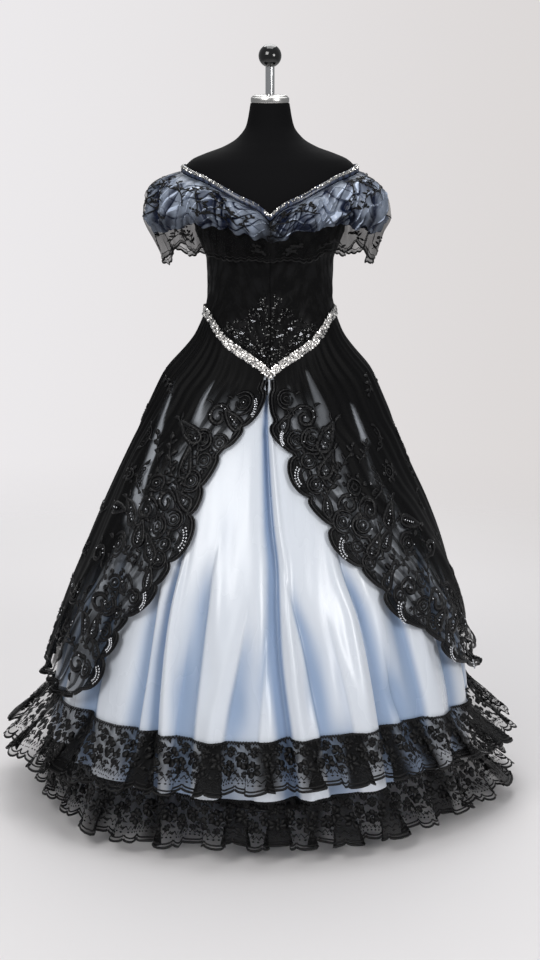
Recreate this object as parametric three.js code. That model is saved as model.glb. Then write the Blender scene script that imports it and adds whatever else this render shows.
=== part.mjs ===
// A rococo gown on a limbless dress form: pointed bodice, off-the-shoulder bertha, pale satin
// skirt, black net overskirt drawn open at the front, and two lace flounces at the hem.
//
// Millimetres, +Z up, origin on the floor under the pole. The gown's front faces -Y and its left
// side, as drawn here, is at -X. A turn is an angle round the upright axis in degrees: 0 at the
// centre front, 90 at +X, 180 at the centre back.

import * as THREE from 'three';

// ---------------------------------------------------------------- driving dimensions

const lowestLace = 23;           // height of the lowest lace above the floor
const waistHeight = 1038;        // waist seam at the side seams
const satinHemHeight = 128;
const formBottom = 820;
const formTop = 1469;
const seamGap = 0.3;             // between two pieces that are sewn together
const satinWall = 2;
const netWall = 1.4;
const bodiceWall = 2;
const bodiceEase = 1.8;          // from the dress form to the bodice
const trimWall = 1.8;
const skirtLean = 20;            // the hem's centre lies this far towards -X
const waistTrimWidth = 16;
const neckTrimWidth = 13;
const berthaSeam = 1.5;         // from the neckline trim to the bertha's gathered edge

// ---------------------------------------------------------------- section tables

// Dress form: half the width, and the depth before and behind the pole's axis.
const formSections = [
  { height: 820, halfWidth: 160, front: 106, back: 114 },
  { height: 850, halfWidth: 165, front: 111, back: 121 },
  { height: 900, halfWidth: 163, front: 112, back: 120 },
  { height: 950, halfWidth: 155, front: 110, back: 112 },
  { height: 1000, halfWidth: 142, front: 105, back: 100 },
  { height: 1038, halfWidth: 133, front: 100, back: 92 },
  { height: 1086, halfWidth: 127, front: 102, back: 89 },
  { height: 1150, halfWidth: 129, front: 114, back: 96 },
  { height: 1176, halfWidth: 138, front: 118, back: 100 },
  { height: 1200, halfWidth: 148, front: 121, back: 104 },
  { height: 1240, halfWidth: 165, front: 119, back: 108 },
  { height: 1280, halfWidth: 178, front: 110, back: 106 },
  { height: 1312, halfWidth: 182, front: 98, back: 102 },
  { height: 1335, halfWidth: 178, front: 87, back: 95 },
  { height: 1354, halfWidth: 162, front: 78, back: 88 },
  { height: 1368, halfWidth: 131, front: 70, back: 79 },
  { height: 1380, halfWidth: 98, front: 64, back: 72 },
  { height: 1398, halfWidth: 68, front: 55, back: 60 },
  { height: 1424, halfWidth: 49, front: 46, back: 48 },
  { height: 1469, halfWidth: 40, front: 40, back: 40 },
];

// Satin skirt, as its outer line before the folds fall in.
const skirtSections = [
  { height: 128, halfWidth: 466, front: 462, back: 474 },
  { height: 250, halfWidth: 452, front: 444, back: 462 },
  { height: 370, halfWidth: 422, front: 410, back: 436 },
  { height: 496, halfWidth: 382, front: 364, back: 400 },
  { height: 625, halfWidth: 333, front: 302, back: 356 },
  { height: 780, halfWidth: 267, front: 212, back: 288 },
  { height: 850, halfWidth: 238, front: 166, back: 252 },
  { height: 919, halfWidth: 207, front: 124, back: 212 },
  { height: 965, halfWidth: 178, front: 117, back: 176 },
  { height: 1005, halfWidth: 150, front: 111, back: 132 },
  { height: 1038, halfWidth: 136, front: 105, back: 98 },
];

// Waist seam: it points down at the centre front.
const waistLine = [
  { turn: 0, height: 917 },
  { turn: 9, height: 938 },
  { turn: 18, height: 953 },
  { turn: 36, height: 979 },
  { turn: 45, height: 994 },
  { turn: 54, height: 1011 },
  { turn: 63, height: 1025 },
  { turn: 81, height: waistHeight - 3 },
  { turn: 180, height: waistHeight - 4 },
];

// Neckline: a point at the centre front, up over the shoulders and level behind.
const neckLine = [
  { turn: 0, height: 1252 },
  { turn: 9, height: 1275 },
  { turn: 20, height: 1290 },
  { turn: 33, height: 1310 },
  { turn: 51, height: 1330 },
  { turn: 90, height: 1345 },
  { turn: 128, height: 1335 },
  { turn: 154, height: 1325 },
  { turn: 180, height: 1322 },
];

// Top of the bodice, as a drop from the neckline: it falls to the underarm at the sides.
const underarmDrop = [
  { turn: 0, drop: 0 },
  { turn: 36, drop: 0 },
  { turn: 54, drop: 48 },
  { turn: 72, drop: 118 },
  { turn: 90, drop: 138 },
  { turn: 108, drop: 120 },
  { turn: 126, drop: 52 },
  { turn: 144, drop: 0 },
  { turn: 180, drop: 0 },
];

// Bertha: how far the satin puff stands out from the neckline, the height of its turned-under
// edge, and the height of the net ruffle's edge that hangs below it.
const berthaShape = [
  { turn: 0, reach: 22, puffEdge: 1195, netEdge: 1155 },
  { turn: 15, reach: 26, puffEdge: 1212, netEdge: 1158 },
  { turn: 30, reach: 30, puffEdge: 1222, netEdge: 1160 },
  { turn: 45, reach: 37, puffEdge: 1230, netEdge: 1170 },
  { turn: 60, reach: 46, puffEdge: 1222, netEdge: 1172 },
  { turn: 75, reach: 54, puffEdge: 1212, netEdge: 1155 },
  { turn: 90, reach: 58, puffEdge: 1206, netEdge: 1147 },
  { turn: 115, reach: 55, puffEdge: 1210, netEdge: 1155 },
  { turn: 150, reach: 44, puffEdge: 1218, netEdge: 1160 },
  { turn: 180, reach: 38, puffEdge: 1220, netEdge: 1160 },
];
const berthaUneven = 0.12;       // its puff stands out this much more towards -X than +X

// One slice of the puff, in parts of its reach and of its drop.
const puffRows = [
  { out: 0, down: 0 },
  { out: 0.5, down: 0.1 },
  { out: 0.94, down: 0.38 },
  { out: 0.98, down: 0.72 },
  { out: 0.7, down: 1 },
];

// The net lies on the puff's first rows, then hangs: out as a part of the puff's reach, and
// down as a part of the way from the puff's edge to the net's own edge.
const netHangRows = [
  { out: 0.74, down: 0.4 },
  { out: 0.5, down: 1 },
];

// Folds that run down the satin where the overskirt is open, and round its hidden sides.
// Each falls in by its depth, from its top down to the hem, and drifts between two turns.
const openFolds = [
  { top: 900, topTurn: -2.5, hemTurn: 9, spread: 3.2, depth: 20 },
  { top: 650, topTurn: 5, hemTurn: 20, spread: 3.2, depth: 18 },
  { top: 640, topTurn: 24.5, hemTurn: 36, spread: 4, depth: 22 },
  { top: 690, topTurn: -17, hemTurn: -18.5, spread: 4.5, depth: 17 },
  { top: 640, topTurn: -29.5, hemTurn: -28, spread: 3, depth: 26 },
  { top: 580, topTurn: -35.5, hemTurn: -36, spread: 3, depth: 18 },
  { top: 520, topTurn: -4.5, hemTurn: -9.5, spread: 3.4, depth: 15 },
  { top: 620, topTurn: 44, hemTurn: 50, spread: 5, depth: 20 },
];
const hiddenFolds = { firstTurn: 65, lastTurn: 305, count: 17, top: 800, spread: 5.2, depth: 21 };

// Rows down the skirts, as parts of the way from the waist seam to the satin's hem. The
// overskirt's are closer where its front edges swing round to the sides.
const skirtRows = [0, 0.04, 0.12, 0.26, 0.42, 0.6, 0.827, 1];
const overskirtRows = [0.003, 0.04, 0.12, 0.26, 0.42, 0.55, 0.66, 0.74, 0.79, 0.827];

// Front edges of the overskirt, before their scalloped borders: they leave each other at the
// bodice's point and swing back to the sides.
const overskirtRightEdge = [
  { height: 275, turn: 88 },
  { height: 304, turn: 75 },
  { height: 340, turn: 66 },
  { height: 404, turn: 56 },
  { height: 470, turn: 44.5 },
  { height: 525, turn: 38 },
  { height: 600, turn: 28.5 },
  { height: 651, turn: 23.5 },
  { height: 700, turn: 17 },
  { height: 781, turn: 12 },
  { height: 830, turn: 4.5 },
  { height: 920, turn: 2.5 },
];
const overskirtLeftEdge = [
  { height: 268, turn: -59 },
  { height: 302, turn: -53 },
  { height: 380, turn: -49 },
  { height: 439, turn: -45 },
  { height: 500, turn: -38.5 },
  { height: 566, turn: -33 },
  { height: 650, turn: -29.5 },
  { height: 720, turn: -27 },
  { height: 775, turn: -22 },
  { height: 800, turn: -17.5 },
  { height: 850, turn: -10 },
  { height: 920, turn: -4 },
];

// Lobes of the scalloped borders: the height of the middle, half the length along the edge,
// and how far the lobe reaches from the edge.
const rightLobes = [
  { height: 868, half: 24, reach: 6 },
  { height: 808, half: 26, reach: 14 },
  { height: 738, half: 36, reach: 22 },
  { height: 672, half: 24, reach: 10 },
  { height: 602, half: 38, reach: 24 },
  { height: 540, half: 22, reach: 10 },
  { height: 466, half: 42, reach: 25 },
  { height: 405, half: 18, reach: 9 },
  { height: 352, half: 32, reach: 27 },
  { height: 300, half: 18, reach: 14 },
];
const leftLobes = [
  { height: 862, half: 32, reach: 14 },
  { height: 808, half: 18, reach: 8 },
  { height: 744, half: 28, reach: 10 },
  { height: 690, half: 26, reach: 12 },
  { height: 618, half: 44, reach: 24 },
  { height: 548, half: 22, reach: 10 },
  { height: 494, half: 34, reach: 19 },
  { height: 442, half: 16, reach: 8 },
  { height: 398, half: 28, reach: 22 },
  { height: 336, half: 36, reach: 30 },
];
const borderBase = 7;            // width of a border between its lobes
const hemLobes = { count: 12, base: 7, reach: 15 };

// How far the overskirt stands off the satin, and how deep its gathers are, on each row.
const overskirtStand = [
  { row: 0, off: 2.8, gather: 0 },
  { row: 0.04, off: 6, gather: 2 },
  { row: 0.12, off: 8.5, gather: 3 },
  { row: 0.26, off: 10, gather: 4 },
  { row: 0.42, off: 12, gather: 5 },
  { row: 0.6, off: 15, gather: 6.5 },
  { row: 0.827, off: 21, gather: 8 },
];
const overskirtGathers = 19;

// Flounces, by turn: heights of the gathered head and of the edge, and how far the edge stands
// out from the satin. They flare where they are caught up at the sides.
const upperFlounce = {
  waves: 30,
  wave: 13,
  line: [
    { turn: -180, head: 254, edge: 146, out: 52 },
    { turn: -130, head: 246, edge: 132, out: 66 },
    { turn: -90, head: 238, edge: 116, out: 84 },
    { turn: -68, head: 244, edge: 118, out: 84 },
    { turn: -40, head: 246, edge: 128, out: 46 },
    { turn: -12, head: 244, edge: 146, out: 34 },
    { turn: 10, head: 249, edge: 157, out: 32 },
    { turn: 38, head: 250, edge: 155, out: 42 },
    { turn: 58, head: 236, edge: 148, out: 58 },
    { turn: 78, head: 222, edge: 134, out: 76 },
    { turn: 95, head: 226, edge: 130, out: 78 },
    { turn: 135, head: 246, edge: 138, out: 60 },
    { turn: 180, head: 254, edge: 146, out: 52 },
  ],
};
const lowerHead = satinHemHeight - seamGap;
const lowerFlounce = {
  waves: 32,
  wave: 15,
  line: [
    { turn: -180, head: lowerHead, edge: 30, out: 46 },
    { turn: -120, head: lowerHead, edge: 30, out: 36 },
    { turn: -85, head: lowerHead, edge: 32, out: 18 },
    { turn: -60, head: lowerHead, edge: 32, out: 20 },
    { turn: -41, head: lowerHead, edge: lowestLace, out: 44 },
    { turn: -26, head: lowerHead, edge: 24, out: 30 },
    { turn: -12, head: lowerHead, edge: 34, out: 22 },
    { turn: 10, head: lowerHead, edge: 32, out: 20 },
    { turn: 36, head: lowerHead, edge: 25, out: 24 },
    { turn: 50, head: lowerHead, edge: 30, out: 28 },
    { turn: 70, head: lowerHead, edge: 26, out: 62 },
    { turn: 88, head: lowerHead, edge: 26, out: 84 },
    { turn: 130, head: lowerHead, edge: 30, out: 60 },
    { turn: 180, head: lowerHead, edge: 30, out: 46 },
  ],
};
const laceScallop = 5;           // depth of the small scallops along a flounce's edge

// Stand and finial, from the floor to the top.
const basePlate = { radius: 190, thickness: 12, edge: 4 };
const baseHub = { radius: 34, height: 38 };
const poleRadius = 16;
const collar = { radius: 48, height: 26, foot: 24 };
const neckCap = { radius: 39.5, lower: formTop + seamGap, upper: 1487, crown: 7 };
const finialRod = { radius: 9.3, upper: 1542 };
const finialBall = { radius: 23.5, centre: 1564 };

// Columns: turns at which the rings are divided.
const bodyColumns = 40;
const bodiceRows = 7;
const berthaColumns = 64;
const overskirtColumns = 60;

// ---------------------------------------------------------------- small helpers

const { clamp, degToRad, lerp, smoothstep } = THREE.MathUtils;

// A smooth curve through one column of a table, read at any value of its key.
function curve(table, key, column) {
  const x = table.map((row) => row[key]);
  const y = table.map((row) => row[column]);
  const last = x.length - 1;
  const slope = x.slice(1).map((value, i) => (y[i + 1] - y[i]) / (value - x[i]));
  const tangent = x.map((_, i) => {
    if (i === 0) return slope[0];
    if (i === last) return slope[last - 1];
    if (slope[i - 1] * slope[i] <= 0) return 0;
    return (2 * slope[i - 1] * slope[i]) / (slope[i - 1] + slope[i]);
  });
  return (value) => {
    const place = clamp(value, x[0], x[last]);
    let i = 0;
    while (i < last - 1 && place > x[i + 1]) i += 1;
    const width = x[i + 1] - x[i];
    const t = (place - x[i]) / width;
    const rise = t * t * (3 - 2 * t);
    const ends = width * (t * (1 - t) * (1 - t) * tangent[i] - t * t * (1 - t) * tangent[i + 1]);
    return y[i] + (y[i + 1] - y[i]) * rise + ends;
  };
}

// A turn brought to -180..180, and its size whichever side it is on.
const wrapped = (turn) => turn - 360 * Math.round(turn / 360);
const sideless = (turn) => Math.abs(wrapped(turn));

// A curve of the turn that is the same on both sides of the gown.
function mirrored(table, column) {
  const half = curve(table, 'turn', column);
  return (turn) => half(sideless(turn));
}

// A surface of oval sections, as a function of turn and height.
function sectionSurface(table, lean) {
  const halfWidth = curve(table, 'height', 'halfWidth');
  const front = curve(table, 'height', 'front');
  const back = curve(table, 'height', 'back');
  return (turn, height, off = 0) => {
    const side = Math.sin(degToRad(turn));
    const ahead = Math.cos(degToRad(turn));
    const width = halfWidth(height);
    const depth = ahead > 0 ? front(height) : back(height);
    const outward = new THREE.Vector2(side / width, -ahead / depth).normalize();
    return new THREE.Vector3(
      lean(height) + side * width + outward.x * off,
      -ahead * depth + outward.y * off,
      height,
    );
  };
}

// ---------------------------------------------------------------- cloth walls

// Triangles between the rows of a sheet. A row may have twice as many spaces as the one above.
function sheetTriangles(rows) {
  const starts = [];
  let count = 0;
  for (const row of rows) {
    starts.push(count);
    count += row.length;
  }
  const triangles = [];
  for (let r = 0; r + 1 < rows.length; r += 1) {
    const doubled = rows[r + 1].length > rows[r].length;
    for (let c = 0; c + 1 < rows[r].length; c += 1) {
      const upper = starts[r] + c;
      const lower = starts[r + 1] + (doubled ? 2 * c : c);
      if (doubled) {
        triangles.push([upper, lower, lower + 1]);
        triangles.push([upper, lower + 1, upper + 1]);
        triangles.push([upper + 1, lower + 1, lower + 2]);
      } else if (rows[r][c].distanceTo(rows[r + 1][c + 1])
          < rows[r][c + 1].distanceTo(rows[r + 1][c])) {
        triangles.push([upper, lower, lower + 1]);
        triangles.push([upper, lower + 1, upper + 1]);
      } else {
        triangles.push([upper, lower, upper + 1]);
        triangles.push([upper + 1, lower, lower + 1]);
      }
    }
  }
  return { starts, triangles };
}

// The sheet's own normal at each point. A ring's first and last columns are the same line.
function sheetNormals(rows, ring) {
  const { triangles } = sheetTriangles(rows);
  const points = rows.flat();
  const normals = points.map(() => new THREE.Vector3());
  const face = new THREE.Vector3();
  const edge = new THREE.Vector3();
  for (const [a, b, c] of triangles) {
    face.subVectors(points[b], points[a]).cross(edge.subVectors(points[c], points[a]));
    for (const corner of [a, b, c]) normals[corner].add(face);
  }
  let place = 0;
  return rows.map((row) => {
    const line = normals.slice(place, place + row.length);
    place += row.length;
    if (ring) {
      const joined = line[0].clone().add(line[line.length - 1]);
      line[0].copy(joined);
      line[line.length - 1].copy(joined);
    }
    return line.map((normal) => normal.normalize());
  });
}

// The two faces of a cloth wall about a sheet: `inner` and `outer` are distances from it. In a
// level wall each point keeps its height, so that its edges meet the next piece squarely.
function wallFaces(rows, inner, outer, { ring = true, level = true } = {}) {
  const normals = sheetNormals(rows, ring);
  if (level) normals.flat().forEach((normal) => normal.setZ(0).normalize());
  const moved = (off) => rows.map((row, r) => (
    row.map((point, c) => point.clone().addScaledVector(normals[r][c], off))));
  return { inner: moved(inner), outer: moved(outer) };
}

// Columns `from` to `to` of a wall, counted on its first row, with its side edges drawn in.
function panel(faces, from, to) {
  const first = faces.outer[0].length - 1;
  const cut = (rows) => rows.map((row) => {
    const times = (row.length - 1) / first;
    const part = row.slice(from * times, to * times + 1).map((point) => point.clone());
    const last = part.length - 1;
    const start = part[1].clone().sub(part[0]).setLength(seamGap / 2);
    const end = part[last - 1].clone().sub(part[last]).setLength(seamGap / 2);
    part[0].add(start);
    part[last].add(end);
    return part;
  });
  return { inner: cut(faces.inner), outer: cut(faces.outer) };
}

function geometryFrom(points, triangles) {
  let volume = 0;
  for (const [a, b, c] of triangles) {
    volume += points[a].dot(points[b].clone().cross(points[c]));
  }
  const outward = volume > 0 ? triangles : triangles.map(([a, b, c]) => [a, c, b]);
  const geometry = new THREE.BufferGeometry().setFromPoints(points);
  geometry.setIndex(outward.flat());
  geometry.computeVertexNormals();
  return geometry;
}

// One closed body from a wall's two faces.
function wallGeometry({ inner, outer }) {
  const { starts, triangles } = sheetTriangles(outer);
  const points = [...outer.flat(), ...inner.flat()];
  const back = points.length / 2;
  const faces = [...triangles];
  for (const [a, b, c] of triangles) faces.push([c + back, b + back, a + back]);
  const ends = outer.map((row, r) => starts[r] + row.length - 1);
  const lastStart = starts[starts.length - 1];
  const rim = [...starts];
  for (let id = lastStart + 1; id <= ends[ends.length - 1]; id += 1) rim.push(id);
  rim.push(...ends.slice(0, -1).reverse());
  for (let id = ends[0] - 1; id > 0; id -= 1) rim.push(id);
  rim.forEach((from, i) => {
    const to = rim[(i + 1) % rim.length];
    faces.push([to, from, from + back]);
    faces.push([to, from + back, to + back]);
  });
  return geometryFrom(points, faces);
}

// A solid through closed sections, with flat ends.
function solidGeometry(sections) {
  const points = sections.flat();
  const around = sections[0].length;
  const faces = [];
  for (let r = 0; r + 1 < sections.length; r += 1) {
    for (let c = 0; c < around; c += 1) {
      const next = (c + 1) % around;
      const [a, b] = [r * around + c, r * around + next];
      faces.push([a, b, b + around]);
      faces.push([a, b + around, a + around]);
    }
  }
  const top = (sections.length - 1) * around;
  const centre = (row) => row
    .reduce((sum, point) => sum.add(point), new THREE.Vector3())
    .divideScalar(around);
  points.push(centre(sections[0]), centre(sections[sections.length - 1]));
  for (let c = 0; c < around; c += 1) {
    const next = (c + 1) % around;
    faces.push([next, c, points.length - 2]);
    faces.push([top + c, top + next, points.length - 1]);
  }
  return geometryFrom(points, faces);
}

// A turned piece: its profile is given as radius and height, from the bottom up.
function turnedGeometry(profile, sides) {
  const line = profile.map(([radius, height]) => new THREE.Vector2(radius, height));
  return new THREE.LatheGeometry(line, sides).rotateX(Math.PI / 2);
}

// ---------------------------------------------------------------- materials

const clothMaterial = (color, roughness) => (
  new THREE.MeshStandardMaterial({ color, roughness, metalness: 0, side: THREE.DoubleSide }));
const blueSatin = clothMaterial('#b9c6df', 0.38);
const veiledSatin = clothMaterial('#6d7c98', 0.5);
const blackLace = clothMaterial('#17171b', 0.85);
const blackNet = clothMaterial('#222228', 0.9);
const blackBodice = clothMaterial('#1c1c21', 0.75);
const formJersey = clothMaterial('#141416', 0.9);
const silverTrim = new THREE.MeshStandardMaterial({ color: '#b4b8bf', roughness: 0.35, metalness: 0.8 });
const chrome = new THREE.MeshStandardMaterial({ color: '#d4d6d8', roughness: 0.18, metalness: 1 });
const standSteel = new THREE.MeshStandardMaterial({ color: '#8e9194', roughness: 0.4, metalness: 1 });

const gown = new THREE.Group();

function add(name, geometry, material) {
  const mesh = new THREE.Mesh(geometry, material.clone());
  mesh.name = name;
  gown.add(mesh);
}

// Turns of a whole ring's columns, from centre back to centre back.
const ringTurns = (count) => Array.from({ length: count + 1 }, (_, i) => -180 + (360 * i) / count);

// ---------------------------------------------------------------- body and bodice

const bodySurface = sectionSurface(formSections, () => 0);
const bodyStep = 360 / bodyColumns;

// A line of the turn that runs straight from one column of the body to the next.
function straightBetweenColumns(lineAt) {
  return (turn) => {
    const column = Math.floor(turn / bodyStep);
    return lerp(lineAt(column * bodyStep), lineAt((column + 1) * bodyStep), turn / bodyStep - column);
  };
}

const waistAt = straightBetweenColumns(mirrored(waistLine, 'height'));
const neckAt = mirrored(neckLine, 'height');
const dropAt = mirrored(underarmDrop, 'drop');

function addDressForm() {
  const turns = ringTurns(bodyColumns).slice(0, -1);
  const rows = formSections.map(({ height }) => turns.map((turn) => bodySurface(turn, height)));
  add('dress_form', solidGeometry(rows), formJersey);
}

// Rows of points on the body between two heights that may change with the turn.
function bodyRows(parts, lowerAt, upperAt) {
  return parts.map((part) => ringTurns(bodyColumns).map((turn) => (
    bodySurface(turn, lerp(upperAt(turn), lowerAt(turn), part)))));
}

const bodiceTop = (turn) => neckAt(turn) - dropAt(turn);
const inset = (line, width) => (turn) => line(turn) + width;

function addBodice() {
  const parts = Array.from({ length: bodiceRows }, (_, i) => i / bodiceRows);
  const upper = bodyRows(parts, inset(waistAt, waistTrimWidth), bodiceTop);
  const lower = bodyRows([0, 1], waistAt, inset(waistAt, waistTrimWidth));
  const faces = wallFaces([...upper, ...lower], bodiceEase, bodiceEase + bodiceWall);
  const quarter = bodyColumns / 4;
  ['back_left', 'front_left', 'front_right', 'back_right'].forEach((name, i) => {
    const part = panel(faces, i * quarter, (i + 1) * quarter);
    add(`bodice_${name}`, wallGeometry(part), blackBodice);
  });
}

// A flat band round the body, lying on the bodice.
function addBodyTrim(name, lowerAt, upperAt) {
  const off = bodiceEase + bodiceWall + 2 * seamGap;
  const faces = wallFaces(bodyRows([0, 1], lowerAt, upperAt), off, off + trimWall);
  add(name, wallGeometry(panel(faces, 0, bodyColumns)), silverTrim);
}

// ---------------------------------------------------------------- bertha

const evenReachAt = mirrored(berthaShape, 'reach');
const reachAt = (turn) => evenReachAt(turn) * (1 - berthaUneven * Math.sin(degToRad(turn)));
const puffEdgeAt = mirrored(berthaShape, 'puffEdge');
const netEdgeAt = mirrored(berthaShape, 'netEdge');
const berthaWaves = 16;
const centreFold = { spread: 7, depth: 9 };

// The gathers of the bertha, from -1 in a hollow to 1 on a crest.
function berthaGather(turn) {
  const drift = 24 * Math.sin(degToRad(3 * turn)) + 16 * Math.sin(degToRad(5 * turn + 40));
  return Math.cos(degToRad(berthaWaves * turn + drift));
}

// A point of the bertha: `out` from the neckline at a given height.
function berthaPoint(turn, out, height, depth) {
  const seam = bodySurface(turn, neckAt(turn) - neckTrimWidth - berthaSeam);
  const away = bodySurface(turn, neckAt(turn), 1).sub(bodySurface(turn, neckAt(turn)));
  const middle = Math.exp(-((sideless(turn) / centreFold.spread) ** 2));
  const far = out + depth * berthaGather(turn) - centreFold.depth * middle * Math.min(1, out / 12);
  return seam.addScaledVector(away, far + bodiceEase + bodiceWall + 2).setZ(height);
}

function puffPoint(turn, { out, down }) {
  const top = neckAt(turn) - neckTrimWidth - berthaSeam;
  const height = lerp(top, puffEdgeAt(turn), down);
  return berthaPoint(turn, out * reachAt(turn), height, 5 * out);
}

function hangPoint(turn, { out, down }) {
  const height = lerp(puffEdgeAt(turn), netEdgeAt(turn), down);
  return berthaPoint(turn, out * reachAt(turn), height, 6);
}

function addBertha() {
  const turns = ringTurns(berthaColumns);
  const puff = puffRows.map((row) => turns.map((turn) => puffPoint(turn, row)));
  const curled = { level: false };
  const satin = wallFaces(puff, -satinWall / 2, satinWall / 2, curled);
  const onPuff = wallFaces(puff, satinWall / 2 + seamGap, satinWall / 2 + seamGap, curled);
  const hang = netHangRows.map((row) => turns.map((turn) => hangPoint(turn, row)));
  const joined = [...onPuff.inner.slice(0, -1), ...hang];
  const net = wallFaces(joined, 0, netWall, curled);
  const half = berthaColumns / 2;
  ['left', 'right'].forEach((side, i) => {
    const [from, to] = [i * half, (i + 1) * half];
    add(`bertha_satin_${side}`, wallGeometry(panel(satin, from, to)), veiledSatin);
    add(`bertha_net_${side}`, wallGeometry(panel(net, from, to)), blackNet);
  });
}

// ---------------------------------------------------------------- satin skirt

const leanAt = (height) => (-skirtLean * (waistHeight - height)) / (waistHeight - satinHemHeight);
const skirtSurface = sectionSurface(skirtSections, leanAt);

const hiddenFoldList = Array.from({ length: hiddenFolds.count }, (_, i) => {
  const { firstTurn, lastTurn, count, top, spread, depth } = hiddenFolds;
  const turn = lerp(firstTurn, lastTurn, i / (count - 1));
  const uneven = Math.sin(2.4 * i);
  return {
    top: top - 90 * (1 + uneven),
    topTurn: turn,
    hemTurn: turn + 3 * uneven,
    spread,
    depth: depth * (1 + 0.25 * uneven),
  };
});

// How far the satin falls in at a turn and height.
function satinFold(turn, height) {
  let fall = 0;
  for (const fold of [...openFolds, ...hiddenFoldList]) {
    const down = clamp((fold.top - height) / (fold.top - satinHemHeight), 0, 1);
    const from = wrapped(turn - lerp(fold.topTurn, fold.hemTurn, down));
    const grown = smoothstep(down, 0, 0.45);
    fall += fold.depth * grown * Math.exp(-((from / fold.spread) ** 2));
  }
  return fall;
}

const rowHeight = (turn, row) => lerp(waistAt(turn) - seamGap, satinHemHeight, row);

// Point of the skirt's outer line: it starts on the body at the waist seam and swings out to
// its own sections within the first part of its length.
function skirtPoint(turn, row, off) {
  const height = rowHeight(turn, row);
  const onBody = bodySurface(turn, height, bodiceEase + bodiceWall / 2 + off);
  return onBody.lerp(skirtSurface(turn, height, off), smoothstep(row, 0, 0.14));
}

// Satin columns: close together in the open front, wider apart behind.
const frontSpan = 60;
const frontStep = 3;
const backStep = 6;
const satinTurns = [];
for (let turn = -180; turn <= 180; turn += sideless(turn + 1) < frontSpan ? frontStep : backStep) {
  satinTurns.push(turn);
}

const satinSheet = skirtRows.map((row) => satinTurns.map((turn) => (
  skirtPoint(turn, row, -satinFold(turn, rowHeight(turn, row))))));
const satinFaces = wallFaces(satinSheet, -satinWall / 2, satinWall / 2);

function addSatinSkirt() {
  const seams = { back_left: [-180, -120], side_left: [-120, -60], front: [-60, 60],
    side_right: [60, 120], back_right: [120, 180] };
  for (const [name, [from, to]] of Object.entries(seams)) {
    const part = panel(satinFaces, satinTurns.indexOf(from), satinTurns.indexOf(to));
    add(`skirt_${name}`, wallGeometry(part), blueSatin);
  }
}

// A point of the satin's outer face at a turn and height, on the flat faces between columns.
function onSatin(turn, height) {
  const place = wrapped(turn);
  const column = Math.max(0, satinTurns.findIndex((limit) => limit > place + 1e-9) - 1);
  const share = (place - satinTurns[column]) / (satinTurns[column + 1] - satinTurns[column]);
  const along = (c) => {
    const line = satinFaces.outer.map((row) => row[c]);
    let r = 0;
    while (r < line.length - 2 && line[r + 1].z > height) r += 1;
    const t = clamp((line[r].z - height) / (line[r].z - line[r + 1].z), 0, 1);
    return line[r].clone().lerp(line[r + 1], t);
  };
  return along(column).lerp(along(column + 1), share);
}

// ---------------------------------------------------------------- net overskirt

const standAt = curve(overskirtStand, 'row', 'off');
const gatherAt = curve(overskirtStand, 'row', 'gather');
const rightEdgeAt = curve(overskirtRightEdge, 'height', 'turn');
const leftEdgeAt = curve(overskirtLeftEdge, 'height', 'turn');

// The turn where a row of the skirt meets an edge whose turn changes with height.
function edgeTurn(edgeAt, row) {
  let turn = edgeAt(rowHeight(0, row));
  for (let i = 0; i < 12; i += 1) turn = lerp(turn, edgeAt(rowHeight(turn, row)), 0.6);
  return turn;
}

// The overskirt's gathers, quiet near its two front edges.
function overskirtGather(along, row) {
  const drift = 0.8 * Math.sin(7 * along + 1) + 0.5 * Math.sin(17 * along + 3 * row);
  const quiet = smoothstep(Math.min(along, 1 - along), 0, 0.04);
  return quiet * Math.cos(2 * Math.PI * (overskirtGathers * along + drift));
}

function overskirtPoint(along, row) {
  const right = edgeTurn(rightEdgeAt, row);
  const left = edgeTurn(leftEdgeAt, row) + 360;
  const off = standAt(row) + gatherAt(row) * overskirtGather(along, row);
  return skirtPoint(lerp(right, left, along), row, off);
}

const overskirtSheet = overskirtRows.map((row) => (
  Array.from({ length: overskirtColumns + 1 }, (_, i) => (
    overskirtPoint(i / overskirtColumns, row)))));
const overskirtFaces = wallFaces(overskirtSheet, -netWall / 2, netWall / 2, { ring: false });

function addOverskirt() {
  const quarter = overskirtColumns / 4;
  ['side_right', 'back_right', 'back_left', 'side_left'].forEach((name, i) => {
    const part = panel(overskirtFaces, i * quarter, (i + 1) * quarter);
    add(`overskirt_${name}`, wallGeometry(part), blackNet);
  });
}

// How far a scalloped border reaches at a height: round lobes on a narrow heading.
function lobeReach(lobes, height) {
  let reach = borderBase;
  for (const lobe of lobes) {
    const from = (height - lobe.height) / lobe.half;
    if (Math.abs(from) < 1) reach = Math.max(reach, borderBase + lobe.reach * Math.sqrt(1 - from ** 2));
  }
  return reach;
}

// A point slid round the skirt by a length, keeping its height and its stand from the satin.
function slidRound(point, length) {
  const centre = leanAt(point.z);
  const halfWidth = skirtSurface(90, point.z).x - centre;
  const depth = -skirtSurface(0, point.z).y;
  const [side, ahead] = [(point.x - centre) / halfWidth, -point.y / depth];
  const size = Math.hypot(side, ahead);
  const angle = Math.atan2(side, ahead);
  const pace = size * Math.hypot(halfWidth * Math.cos(angle), depth * Math.sin(angle));
  const reached = angle + length / pace;
  return new THREE.Vector3(
    centre + halfWidth * size * Math.sin(reached),
    -depth * size * Math.cos(reached),
    point.z,
  );
}

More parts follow.
